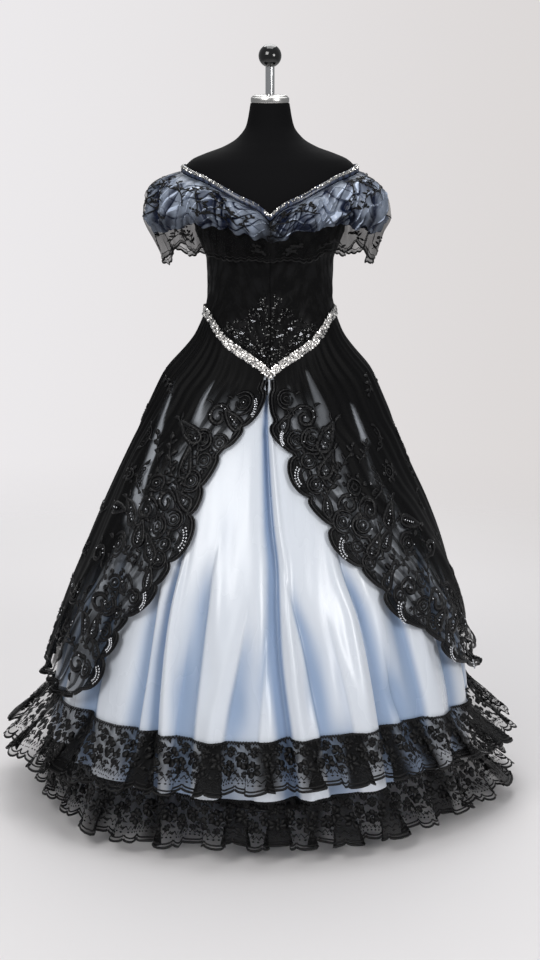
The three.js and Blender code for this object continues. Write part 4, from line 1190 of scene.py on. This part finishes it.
class GOWN_OT_dress_form(bpy.types.Operator):
    """Padded torso in black jersey, without limbs"""

    bl_idname = "gown.dress_form"
    bl_label = "Dress form"
    bl_options = {"REGISTER", "UNDO"}

    def execute(self, context):
        heights = np.concatenate([np.linspace(FORM_TOP, 1300, 46),
                                  np.linspace(1290, FORM_BOTTOM, 30)])
        turn, height = np.meshgrid(np.linspace(-180, 180, 108, endpoint=False), heights)
        form = capped("dress_form_jersey", body_surface(turn, height), FORM_TOP, FORM_BOTTOM,
                      "jersey", crease=50)
        settle(form, "black_jersey", "dress_form")
        return {"FINISHED"}


class GOWN_OT_stand(bpy.types.Operator):
    """Neck cap, finial, pole, collar and base plate"""

    bl_idname = "gown.stand"
    bl_label = "Stand and finial"
    bl_options = {"REGISTER", "UNDO"}

    def execute(self, context):
        # Radius of the ball and height of its middle, radius of the rod, top of the cap. Each
        # profile is (radius, height) from the bottom pole to the top.
        ball, middle, rod, cap_top = 23.5, 1564, 9.3, 1487
        sink = math.sqrt(ball ** 2 - rod ** 2)
        rod_top = min(1542, middle - sink - SEAM)
        low = FORM_BOTTOM - SEAM - 26
        cap = ((0, 1469.3), (36, 1469.3), (38.4, 1470), (39.5, 1472), (39.5, 1478.5),
               (38.9, 1480.4), (37.2, 1481.4), (36.2, 1482.6), (35.2, 1484), (32, 1485.4),
               (24, 1486.2), (14, 1486.8), (12.3, cap_top), (0, cap_top))
        shaft = ((0, cap_top + SEAM), (8.8, cap_top + SEAM), (rod, cap_top + 0.9),
                 (rod, rod_top - 0.6), (8.8, rod_top), (0, rod_top))
        curve_up = [(ball * math.sin(a), middle - ball * math.cos(a))
                    for a in np.linspace(math.asin(rod / ball), math.pi - 0.04, 34)]
        plate = ((0, 0), (188.5, 0), (190, 1.5), (190, 8), (189.2, 10), (187.4, 11.4), (185, 12),
                 (36, 12), (34.6, 12.8), (34, 14.5), (34, 36), (32.6, 38), (0, 38))
        pole = ((0, 38.3), (16, 38.3), (16, low - SEAM), (0, low - SEAM))
        collar = ((0, low), (23, low), (25, low + 0.8), (47, low + 16.5), (48, low + 18),
                  (48, low + 26), (0, low + 26))
        for name, profile, finish, sides, slot, node in (
                ("neck_cap_turned", cap, "aluminium", 96, "turned_aluminium", "neck_cap"),
                ("finial_rod_plated", shaft, "chrome", 48, "chrome", "finial_rod"),
                ("finial_ball_moulded", [(0, middle - sink), *curve_up, (0, middle + ball)],
                 "knob", 64, "black_ball", "finial_ball"),
                ("stand_base_plate", plate, "powder coat", 128, "stand_steel", "stand_base"),
                ("stand_pole_tube", pole, "powder coat", 48, "stand_steel", "stand_pole"),
                ("stand_collar_turned", collar, "powder coat", 64, "stand_steel",
                 "stand_collar")):
            settle(spun(name, profile, finish, sides), slot, node)
        return {"FINISHED"}


class GOWN_OT_bodice(bpy.types.Operator):
    """Four panels of corded lace over black cloth, with a spray of black sequins"""

    bl_idname = "gown.bodice"
    bl_label = "Bodice"
    bl_options = {"REGISTER", "UNDO"}

    def execute(self, context):
        for name, start in (("back_left", -180), ("front_left", -90), ("front_right", 0),
                            ("back_right", 90)):
            turn, down = spread(start + 0.06, start + 89.94, 46, np.linspace(0, 1, 60))
            height = lerp(neck_at(turn) - drop_at(turn), waist_at(turn), down)
            creases = 0.8 * ripple(turn / 30, height / 26, 17) * bell(height - 1075, 60)
            cloth("bodice_" + name + "_lace", body_surface(turn, height, BODICE_FACE + creases),
                  "bodice", "black_bodice_lace", ["bodice_" + name],
                  wall=1.2)
        self.make_spray()
        return {"FINISHED"}

    def make_spray(self):
        """Black sequins and beads that rise from the point of the waist like a plant, with
        clusters of silver-lined beads."""
        rng = np.random.default_rng(11)
        point = waist_at(0.0)
        spots = []
        for side in (-1, 1):
            # Twigs: where they start above the waist, how far round and up they go, how many.
            for start, reach, rise, count in (
                    (0, 44, 52, 30), (4, 30, 60, 26), (20, 33, 56, 24), (34, 18, 64, 20),
                    (54, 20, 52, 18), (72, 9, 58, 16), (92, 10, 44, 14), (4, 3, 140, 34)):
                t = np.linspace(0.02, 1, count)
                curl = rise * np.sin(0.78 * np.pi * t) if reach > 3 else rise * t
                turn = side * (reach * t + 1) + rng.normal(0, 0.7, count)
                height = point + WAIST_TRIM + 3 + start + curl + 0.5 * (waist_at(turn) - point)
                spots.append(paired(turn, height + rng.normal(0, 1.8, count)))
            for middle, level, count in ((26, 14, 26), (34, 20, 20), (15, 12, 22), (8, 26, 18)):
                turn = side * middle + rng.normal(0, 3.2, count)
                height = waist_at(turn) + WAIST_TRIM + level + rng.normal(0, 5, count)
                spots.append(paired(turn, height))
        points, out = self.above_trim(spots, 2)
        slot = "black_bodice_lace"
        scattered("bodice_spray_sequins", "sequin", "jet", slot, points, out,
                  SPRAY_SEQUIN, tilt=1)
        chosen = rng.permutation(len(points))[:100]
        scattered("bodice_spray_beads", "bead", "jet", slot, points[chosen] + out[chosen] * 1.2,
                  out[chosen], SPRAY_BEAD)
        # Silver clusters: turn, height and how many beads.
        clusters = ((17.5, 1016, 13), (8, 1003, 8), (26, 1005, 10), (33, 1001, 5), (20, 988, 4),
                    (-14, 1034, 5), (-23, 1009, 6), (-28, 999, 5), (-8, 1058, 5), (-15, 985, 4),
                    (3, 975, 4), (-6, 966, 4))
        points, out = self.above_trim(
            [rng.normal((at, level), (1.4, 1.8), (count, 2)) for at, level, count in clusters], 3)
        scattered("bodice_silver_beads", "bead", "smoke", slot, points + out * 1.2, out,
                  SILVER_BEAD)

    def above_trim(self, spots, gap):
        """The spots that stay clear of the waist trim, as points with the way out of them."""
        spots = np.concatenate(spots)
        spots = spots[spots[:, 1] > waist_at(spots[:, 0]) + WAIST_TRIM + gap]
        face = on_cloth(lambda a, b: body_surface(a, b, BODICE_FACE + 0.9), BODY_STEP)
        return face(spots[:, 0], spots[:, 1])


class GOWN_OT_trims(bpy.types.Operator):
    """Silver braid with sequins at the waist and rhinestones at the neckline"""

    bl_idname = "gown.trims"
    bl_label = "Silver trims"
    bl_options = {"REGISTER", "UNDO"}

    def band(self, name, low_at, high_at, node, finish):
        """A band of upright oval section between two lines round the body."""
        turns = np.linspace(-180, 180, 241)[:-1]
        # Round its section: how far down the band, and how far out.
        sheet = np.stack([
            body_surface(turns, lerp(high_at(turns), low_at(turns), part),
                         BODICE_FACE + 2 * SEAM + rise)
            for part, rise in ((0, 0), (0.04, 1), (0.3, 1.8), (0.7, 1.8), (0.96, 1), (1, 0),
                               (0.5, -0.1))])
        count, columns = sheet.shape[:2]
        faces = grid_faces(count + 1, columns, closed=True) % (count * columns)
        run = np.tile(run_along(sheet[0]) * MM, count)
        piece = mesh_piece(name, sheet.reshape(-1, 3), faces, finish,
                           paired(run, np.repeat(np.arange(count) * 0.002, columns)),
                           {"painted_shade_and_tone": 0.5 + 0.6 * ripple(run * 60, 0, 5)})
        settle(piece, "silver_trim", node)

    def along(self, low_at, high_at, parts, spacing, jitter, rng):
        """Places for sequins in rows along a band."""
        off = BODICE_FACE + 3.4
        around = np.linspace(-180, 180, 1441)
        run = run_along(body_surface(around, low_at(around)))
        spots = []
        for i, part in enumerate(parts):
            places = np.arange(spacing * (0.5 * (i % 2)), run[-1], spacing)
            places = places + rng.normal(0, jitter, len(places))
            turn = np.interp(places, run, around)
            level = part + rng.normal(0, 0.02, len(turn))
            spots.append(paired(turn, lerp(high_at(turn), low_at(turn), level)))
        spots = np.concatenate(spots)
        return on_cloth(lambda a, b: body_surface(a, b, off), BODY_STEP)(*spots.T)

    def execute(self, context):
        sizes = context.scene.gown_sizes
        rng = np.random.default_rng(23)
        waist_high = lambda turn: waist_at(turn) + WAIST_TRIM
        neck_low = lambda turn: neck_at(turn) - NECK_TRIM
        self.band("waist_braid", waist_at, waist_high, "waist_trim", "braid")
        self.band("neckline_binding", neck_low, neck_at, "neckline_trim", "binding")
        points, out = self.along(waist_at, waist_high, (0.06, 0.36, 0.66, 0.96), 5.8, 0.9, rng)
        scattered("waist_sequins", "sequin", "sequin", "silver_trim", points, out, sizes.sequin,
                  tilt=0.62)
        points, out = self.along(neck_low, neck_at, (0.1, 0.34), 4.2, 0.6, rng)
        # The puff's net laps over part of the neckline, most of all at the left.
        turn = np.degrees(np.arctan2(points[:, 0], -points[:, 1]))
        hidden = smoothstep(turn, -50, -40) * (1 - smoothstep(turn, -9, -4))
        hidden = hidden * (1 - bell(turn + 27, 2.5))
        hidden = hidden + 0.45 * smoothstep(turn, 4, 12) * (1 - smoothstep(turn, 40, 50))
        kept = rng.random(len(points)) > 0.9 * np.clip(hidden, 0, 1)
        scattered("neckline_rhinestones", "stone", "stone", "silver_trim", points[kept],
                  out[kept], sizes.stone, tilt=0.6)
        return {"FINISHED"}


class GOWN_OT_bertha(bpy.types.Operator):
    """Off-the-shoulder satin puff under a tulle ruffle with embroidered vines"""

    bl_idname = "gown.bertha"
    bl_label = "Bertha"
    bl_options = {"REGISTER", "UNDO"}

    def execute(self, context):
        for side, start in (("left", -180), ("right", 0)):
            end = start + 180
            turn, down = spread(start + 0.05, end - 0.05, 401, np.linspace(0, 1, 56))
            # Painted shade: the puff's satin is painted darker in its creases and between its
            # bubbles, in uneven patches.
            uneven = 5 * ripple(turn / 21, down * 1.2, 61, 3) - 0.7 * puff_bubbles(turn, down)
            painted_shade_and_tone = smoothstep(puff_creases(turn, down) + uneven, -5, 8)
            cloth(f"bertha_satin_{side}_puff", puff_point(turn, down), "puff satin",
                  "veiled_satin", [f"bertha_satin_{side}"],
                  fields={"painted_shade_and_tone": painted_shade_and_tone})
            vines = ribbons(f"bertha_vines_{side}", on_cloth(ruffle_point, (0.4, 0.03)),
                            self.vines(start, end) + self.edging(start, end), "motif",
                            "black_net", thickness=0.9, lift=0.7)
            turn, down = spread(start + 0.05, end - 0.05, 361, np.linspace(0, 2, 58))
            cover = 0.26 + 0.2 * smoothstep(down, 0.85, 1.1) + 0.25 * smoothstep(down, 1.86, 2)
            cover = cover + 0.25 * (1 - smoothstep(down, 0, 0.2)) + 0.4 * bell(wrapped(turn), 6)
            cover = np.clip(cover + 0.1 * ripple(turn / 9, down, 9), 0, 0.9)
            cloth(f"bertha_net_{side}_ruffle", ruffle_point(turn, down), "net", "black_net",
                  [f"bertha_net_{side}"],
                  {"cover": cover})
        return {"FINISHED"}

    def vines(self, start, end):
        """Twigs with side branches, leaves and small blossoms, scattered over puff and ruffle."""
        rng = np.random.default_rng(211 + start)
        strokes = []
        across, tall = RUFFLE_PACE

        def twig(turn, down, heading, length, wide, branches):
            """A bent twig; headings are in degrees from straight up, lengths in millimetres."""
            t = np.linspace(0, 1, 12)
            way = heading + rng.uniform(-40, 40) * t + 18 * np.sin(6 * t + rng.uniform(0, 6))
            way = np.radians(way)
            turns = turn + np.cumsum(np.sin(way)) * length / 12 / across
            downs = down - np.cumsum(np.cos(way)) * length / 12 / tall
            downs = 0.12 + np.abs(downs - 0.12)
            strokes.append((paired(turns, downs), taper(12, wide, 0.6)))
            for i in rng.permutation(np.arange(2, 11))[:branches]:
                away = heading + rng.choice((-1, 1)) * rng.uniform(35, 75)
                twig(turns[i], downs[i], away, length * 0.5, wide * 0.8, 0)
            reach = np.linspace(0, 1, 4)
            for i in range(3, 12, 3):
                side = rng.choice((-1, 1))
                strokes.append((paired(turns[i] + side * 2.6 * reach, downs[i] - 0.05 * reach),
                                np.array([1, 5, 4, 0.8])))
            for _ in range(3):
                x, y = turns[-1] + rng.normal(0, 1.1), downs[-1] + rng.normal(0, 0.03)
                strokes.append((np.array([[x - 0.8, y], [x, y + 0.004], [x + 0.8, y]]),
                                np.array([2.5, 5.2, 2.5])))

        for middle in np.arange(start + 7, end - 4, 11.5):
            twig(middle + rng.uniform(-3, 3), rng.uniform(0.75, 1.15), rng.uniform(-70, 70),
                 rng.uniform(65, 105), 3.0, 2)
            if rng.random() < 0.6:
                twig(middle + rng.uniform(-5, 5), 1.8, rng.uniform(-60, 60),
                     rng.uniform(30, 50), 2.2, 1)
        return [(np.clip(path, (start + 0.5, 0.04), (end - 0.5, 1.95)), width)
                for path, width in strokes]

    def edging(self, start, end):
        turn = np.linspace(start + 0.3, end - 0.3, 420)
        return [(paired(turn, 1.992), 3.8), (paired(turn, 1.9), 1.6)]


class GOWN_OT_satin_skirt(bpy.types.Operator):
    """Five gores of pale satin that fall in folds to the hem"""

    bl_idname = "gown.satin_skirt"
    bl_label = "Satin skirt"
    bl_options = {"REGISTER", "UNDO"}

    def execute(self, context):
        rows = np.concatenate([np.linspace(0, 0.12, 14), np.linspace(0.135, 1, 74)])
        for name, start, end, count in (
                ("front", -60, 60, 381), ("side_left", -120, -60, 61),
                ("side_right", 60, 120, 61), ("back_left", -180, -120, 61),
                ("back_right", 120, 180, 61)):
            turn, row = spread(start + 0.02, end - 0.02, count, rows)
            height = row_height(turn, row)
            fall = satin_fall(turn, height)
            # Painted shade: the satin is painted a deeper blue the further it falls in at its
            # folds, creases and dents.
            cloth(f"skirt_{name}_satin", skirt_point(turn, height, -fall), "satin",
                  "blue_satin", [f"skirt_{name}"],
                  fields={"painted_shade_and_tone": smoothstep(fall, -6, 25)})
        return {"FINISHED"}


class GOWN_OT_overskirt(bpy.types.Operator):
    """Black tulle drawn open at the front, with its scalloped borders"""

    bl_idname = "gown.overskirt"
    bl_label = "Net overskirt"
    bl_options = {"REGISTER", "UNDO"}

    def execute(self, context):
        sizes = context.scene.gown_sizes
        rows = np.concatenate([np.linspace(0.003, 0.1, 16),
                               np.linspace(0.108, OVERSKIRT_END, 74)])
        for i, name in enumerate(("side_right", "back_right", "back_left", "side_left")):
            along, row = spread(i / 4, (i + 1) / 4, 170, rows)
            turn, height = self.place(along, row)
            cloth(f"overskirt_{name}_net", net_point(turn, height), "net", "black_net",
                  [f"overskirt_{name}"],
                  fields={"cover": net_cover(turn, height)})
        self.make_border("right", right_edge_at, RIGHT_LOBES, -1, sizes)
        self.make_border("left", left_edge_at, LEFT_LOBES, 1, sizes)
        self.make_hem(sizes)
        return {"FINISHED"}

    def place(self, along, row):
        """The turn and height of a place, from its part of the way round from edge to edge."""
        right, left = edge_turn(right_edge_at, row), edge_turn(left_edge_at, row) + 360
        turn = lerp(right, left, along)
        return turn, row_height(turn, row)

    def dense_net(self, name, sheet, rests_on, goes_with, cover):
        """A border's own net."""
        cloth(f"{name}_net", sheet, "border", "black_lace", [name],
              {"cover": np.full(sheet.shape[:2], cover)})

    def make_border(self, side, edge_at, lobes, towards, sizes):
        """A front edge's border: dense net inside a band of satin stitch and a corded rim."""
        top = row_height(np.array(0.0), 0.004)
        low = row_height(edge_turn(edge_at, np.array([OVERSKIRT_END])), OVERSKIRT_END)[0]
        heights = np.arange(float(top), float(low), -BORDER_STEP)
        edge, reach = edge_at(heights), lobe_reach(lobes, heights)
        per_degree = pace(edge, heights)
        parts = np.linspace(0, 1, 9)[:, None]
        turn = edge + towards * (SEAM + parts * (reach - SEAM)) / per_degree
        sheet = net_point(turn, np.broadcast_to(heights, turn.shape)).transpose(1, 0, 2)
        if towards < 0:
            sheet = sheet[:, ::-1]
        strokes = []
        # Cords along the border in even steps: how far in from its rim, and how wide.
        for inset, wide in ((1.2, sizes.cord / MM), (6.6, 7.6), (13.4, 1.8)):
            turn = edge + towards * (reach - inset) / per_degree
            run = run_along(paired(turn * per_degree, heights))
            steps = np.arange(0, run[-1], EVEN_STEP)
            strokes.append((paired(np.interp(steps, run, turn), np.interp(steps, run, heights)),
                            wide))
        beads = []
        for middle, half, out in lobes:
            if out < LARGE_LOBE:
                continue
            turn_at = float(edge_at(np.array(middle)))
            step = float(pace(np.array(turn_at), np.array(middle)))
            wide = out + BORDER_BASE - 9
            for size, thick in ((0.62, 3.2), (0.3, 3.4)):
                x, y = arc(-6, middle, wide * size * 1.5, half * size, -78, 78, 16).T
                strokes.append((paired(turn_at + towards * x / step, y), taper(16, thick, 0.5)))
            for size in (0.66, 0.86):
                x, y = arc(-6, middle, wide * size * 1.35, half * size * 0.82, -46, 40, 8).T
                beads.append(paired(turn_at + towards * x / step, y))
            eye = np.linspace(0, FULL_TURN, 10)
            strokes.append((paired(turn_at - towards * 12 / step + 3.2 / step * np.cos(eye),
                                   middle + 3.2 * np.sin(eye)), 2.6))
        surface = on_cloth(net_point, NET_STEP)
        name = f"overskirt_edge_{side}"
        cords = ribbons(name + "_cords", surface, strokes, "cord", "black_lace",
                        thickness=CORD_HIGH)
        points, out = surface(*np.concatenate(beads).T)
        beads = scattered(name + "_beads", "bead", "smoke", "silver_trim", points + out * 1.4,
                          out, sizes.bead * 1.35)
        self.dense_net(name, sheet, "skirt_front_satin", [cords, beads], 0.84)

    def hem_point(self, along, drop):
        """A point of the hem's border, at a part of the hem's length and a drop below it."""
        turn, height = self.place(along, np.full_like(along, OVERSKIRT_END))
        point = net_point(turn, height)
        below = net_point(turn, height - 2.0) - point
        return point + below * (drop / np.linalg.norm(below, axis=-1))[..., None]

    def make_hem(self, sizes):
        count, base, reach = HEM_LOBES
        for side, start in (("right", 0), ("left", 0.5)):
            along = np.linspace(start, start + 0.5, 240)
            deep = base + reach * np.abs(np.sin(np.pi * count * along))
            parts = np.linspace(0, 1, 8)[:, None]
            sheet = self.hem_point(along + 0 * parts, SEAM + parts * (deep - SEAM))
            strokes = [(paired(along, deep - inset), wide)
                       for inset, wide in ((1.2, sizes.cord / MM), (6.6, 7.4), (13, 1.8))]
            name = f"overskirt_hem_{side}"
            cords = ribbons(name + "_cords", on_cloth(self.hem_point, (0.002, 1.5)), strokes,
                            "cord", "black_lace", thickness=CORD_HIGH)
            self.dense_net(name, sheet, f"overskirt_side_{side}_net", [cords], 0.7)


class GOWN_OT_embroidery(bpy.types.Operator):
    """Corded scrolls, drops, rosettes and sprigs over the net overskirt, with beads"""

    bl_idname = "gown.embroidery"
    bl_label = "Embroidery"
    bl_options = {"REGISTER", "UNDO"}

    def execute(self, context):
        sizes = context.scene.gown_sizes
        surface = on_cloth(net_point, NET_STEP)
        for side, edge_at, inward, seed in (("right", right_edge_at, 1, 5),
                                            ("left", left_edge_at, -1, 9)):
            strokes, beads = [], []
            for placed in self.arranged(edge_at, inward, seed):
                lines, spots = placed_on_skirt(*placed)
                strokes += [(self.inside(path, edge_at, inward), width) for path, width in lines]
                beads.append(spots)
            ribbons(f"overskirt_embroidery_{side}", surface, strokes, "cord", "black_lace",
                    thickness=1.4)
            beads = np.concatenate(beads)
            beads = beads[np.random.default_rng(len(beads)).random(len(beads)) < 0.5]
            points, out = surface(*beads.T)
            scattered(f"overskirt_beads_{side}", "bead", "smoke", "silver_trim",
                      points + out * 1.5, out, sizes.bead)
        return {"FINISHED"}

    def inside(self, path, edge_at, inward):
        """A path kept above the hem and behind the front edge."""
        turn = path[:, 0]
        height = np.maximum(path[:, 1], row_height(turn, OVERSKIRT_END) + 4)
        limit = np.maximum if inward > 0 else np.minimum
        return paired(limit(turn, edge_at(height)), height)

    def arranged(self, edge_at, inward, seed):
        """Where each pattern goes on one half: rows beside the front edge, then over the rest."""
        rng = np.random.default_rng(seed)
        chosen = []

        def paced(turn, height):
            return float(pace(np.array(turn), np.array(height)))

        # How far from the edge, how far apart, which patterns and how large.
        for gap, spacing, kinds, scale in (
                (20, 38, (5, 1, 5, 2), 1.0), (56, 42, (0, 5, 1, 4), 1.15),
                (98, 50, (1, 4, 2, 0), 1.2), (148, 62, (4, 3, 1, 5), 1.15)):
            for i, height in enumerate(np.arange(890 - gap * 0.8, 320, -spacing)):
                turn = float(edge_at(np.array(height)))
                turn = turn + inward * (gap + rng.uniform(-5, 5)) / paced(turn, height)
                chosen.append((MOTIFS[kinds[i % len(kinds)]], turn, height + rng.uniform(-6, 6),
                               rng.uniform(-30, 30) - inward * 25, scale * rng.uniform(0.85, 1.1),
                               inward))
        # Over the rest, in rows that are looser towards the waist.
        for height in np.arange(300, 900, SPRAY_ROWS):
            step = paced(90.0, height)
            start = inward * float(edge_at(np.array(height))) + 205 / step
            spacing = SPRAY_ROWS / step * lerp(1, 1.5, (height - 300) / 600)
            for i, turn in enumerate(np.arange(start, 177.0, spacing)):
                kind = MOTIFS[(i * 2 + int(height / SPRAY_ROWS)) % len(MOTIFS)]
                chosen.append((kind, inward * (turn + rng.uniform(-2, 2)),
                               height + rng.uniform(-18, 18), rng.uniform(-180, 180),
                               rng.uniform(0.8, 1.1), 1 if i % 2 else -1))
        return chosen


class GOWN_OT_flounces(bpy.types.Operator):
    """Two gathered lace flounces: one over the satin's hem and one below it"""

    bl_idname = "gown.flounces"
    bl_label = "Lace flounces"
    bl_options = {"REGISTER", "UNDO"}

    def edge_down(self, part):
        """How far down the lace reaches: small scallops, two for each repeat."""
        scallop = np.abs(np.sin(np.pi * 2 * LACE_REPEATS * (part + 180) / 360)) ** 0.7
        return 0.965 - 0.07 * (1 - scallop)

    def execute(self, context):
        repeat, step = lace_repeat(), 360 / LACE_REPEATS
        for name, flounce, count, ground in (("upper_flounce", upper_flounce, 4, 0.24),
                                             ("lower_flounce", lower_flounce, 6, 0.04)):
            width = 360 / count
            for i in range(count):
                start = -180 + i * width
                strokes = [
                    (paired(start + (k + path[:, 0] / LACE_WIDE) * step,
                            np.clip(0.95 - path[:, 1] / LACE_TALL, 0.012, 0.96)), wide)
                    for k in range(LACE_REPEATS // count) for path, wide in repeat]
                worked = ribbons(f"{name}_{i + 1}_pattern", on_cloth(flounce.point, (0.25, 0.03)),
                                 strokes, "motif", "black_lace", thickness=0.7)
                part, row = spread(start, start + width, 960 // count + 1, np.linspace(0, 1, 20))
                cover = ground + 0.4 * (1 - smoothstep(row, 0, 0.06))
                cover = cover + 0.3 * smoothstep(row, 0.95, 0.98) + 0.7 * flounce.bunched(part)
                cover = cover + 0.04 * ripple(part / 4, row, 14)
                cloth(f"{name}_{i + 1}_lace", flounce.point(part, row * self.edge_down(part)),
                      "lace", "black_lace", [f"{name}_{i + 1}"],
                      {"cover": cover})
        return {"FINISHED"}


class GOWN_OT_stage(bpy.types.Operator):
    """Round pale floor that fades into pale air, soft studio lights and the camera"""

    bl_idname = "gown.stage"
    bl_label = "Stage"
    bl_options = {"REGISTER", "UNDO"}

    def execute(self, context):
        angle = np.linspace(0, 2 * np.pi, FLOOR_SIDES, endpoint=False)
        rim = FLOOR_RADIUS * np.stack([np.cos(angle), np.sin(angle), 0 * angle], axis=-1)
        floor = mesh_piece("studio_floor", rim, [range(FLOOR_SIDES)], "paper", smooth=False)
        # Place, aim and width in metres, watts and colour.
        for name, place, target, size, power, colour in (
                ("Key softbox", (-1.9, -3.1, 3.3), (0, 0, 0.95), 1.9, 84, (1.0, 0.99, 0.975)),
                ("Fill softbox", (2.6, -3.0, 2.0), (0, 0, 0.6), 1.3, 56, (1.0, 0.99, 0.98)),
                ("Top softbox", (0.1, 0.5, 4.2), (0, 0, 1.0), 2.2, 50, (1.0, 1.0, 1.0)),
                ("Floor softbox", (0.0, 2.3, 3.4), (0.0, 1.7, 0), 2.4, 62, (1.0, 1.0, 1.0))):
            light = bpy.data.lights.new(name, "AREA")
            light.shape, light.size, light.energy, light.color = "SQUARE", size, power, colour
            lamp = added(name, light)
            lamp.location = place
            x, y, z = (t - p for t, p in zip(target, place))
            lamp.rotation_euler = (math.atan2(math.hypot(x, y), -z), 0,
                                   math.atan2(y, x) - math.pi / 2)
        self.make_air()
        scene = context.scene
        scene.view_settings.view_transform = "Standard"
        camera = bpy.data.cameras.new("Camera")
        camera.lens, camera.sensor_width, camera.clip_end = FOCAL, SENSOR, 50
        eye = added("Camera", camera)
        eye.location = EYE
        eye.rotation_euler = (math.radians(90 - LOOKS_DOWN), 0, 0)
        scene.camera = eye
        return {"FINISHED"}

    def make_air(self):
        """Air that looks pale to the eye but lights the gown only softly. Where the eye sees it,
        it is painted lighter at -X and darker and warmer at +X, as if lit from the left: painted
        light."""
        world = bpy.data.worlds.new("Studio air")
        world.use_nodes = True
        tree = world.node_tree
        tree.nodes.clear()
        way = add_node(tree, "ShaderNodeTexCoord").outputs["Generated"]
        across = add_node(tree, "ShaderNodeSeparateXYZ", {"Vector": way}).outputs["X"]
        side = add_node(tree, "ShaderNodeMapRange",
                        {"Value": across, "From Min": -0.2, "From Max": 0.2})
        # Painted light: the air that the eye sees is lighter at -X and darker and warmer at +X.
        painted_side_light = banded(add_node(tree, "ShaderNodeValToRGB", {"Fac": side}),
                      (0.0, "#EDEBED"), (1.0, "#DBD7D6"))
        seen = add_node(tree, "ShaderNodeBackground", {"Color": painted_side_light})
        soft = add_node(tree, "ShaderNodeBackground",
                        {"Color": (0.92, 0.93, 0.95, 1), "Strength": 0.3})
        eye_ray = add_node(tree, "ShaderNodeLightPath").outputs["Is Camera Ray"]
        both = add_node(tree, "ShaderNodeMixShader", {0: eye_ray, 1: soft, 2: seen})
        add_node(tree, "ShaderNodeOutputWorld", {"Surface": both})
        bpy.context.scene.world = world


STEPS = (GOWN_OT_dress_form, GOWN_OT_stand, GOWN_OT_bodice, GOWN_OT_trims, GOWN_OT_bertha,
         GOWN_OT_satin_skirt, GOWN_OT_overskirt, GOWN_OT_embroidery, GOWN_OT_flounces,
         GOWN_OT_stage)


class GOWN_PT_panel(bpy.types.Panel):
    """The gown's sizes, colours and steps"""

    bl_idname = "GOWN_PT_panel"
    bl_label = "Gown"
    bl_space_type = "VIEW_3D"
    bl_region_type = "UI"
    bl_category = "Gown"

    def draw(self, context):
        for group in (context.scene.gown_sizes, context.scene.gown_colours):
            box = self.layout.box()
            for key in group.__annotations__:
                box.prop(group, key)
        for step in STEPS:
            self.layout.operator(step.bl_idname)


CLASSES = (GownSizes, GownColours, *STEPS, GOWN_PT_panel)


def register():
    for item in CLASSES:
        bpy.utils.register_class(item)
    bpy.types.Scene.gown_sizes = PointerProperty(type=GownSizes)
    bpy.types.Scene.gown_colours = PointerProperty(type=GownColours)


def unregister():
    del bpy.types.Scene.gown_colours
    del bpy.types.Scene.gown_sizes
    for item in reversed(CLASSES):
        bpy.utils.unregister_class(item)


def main():
    register()
    for step in STEPS:
        group, name = step.bl_idname.split(".")
        getattr(getattr(bpy.ops, group), name)()


if __name__ == "__main__":
    main()
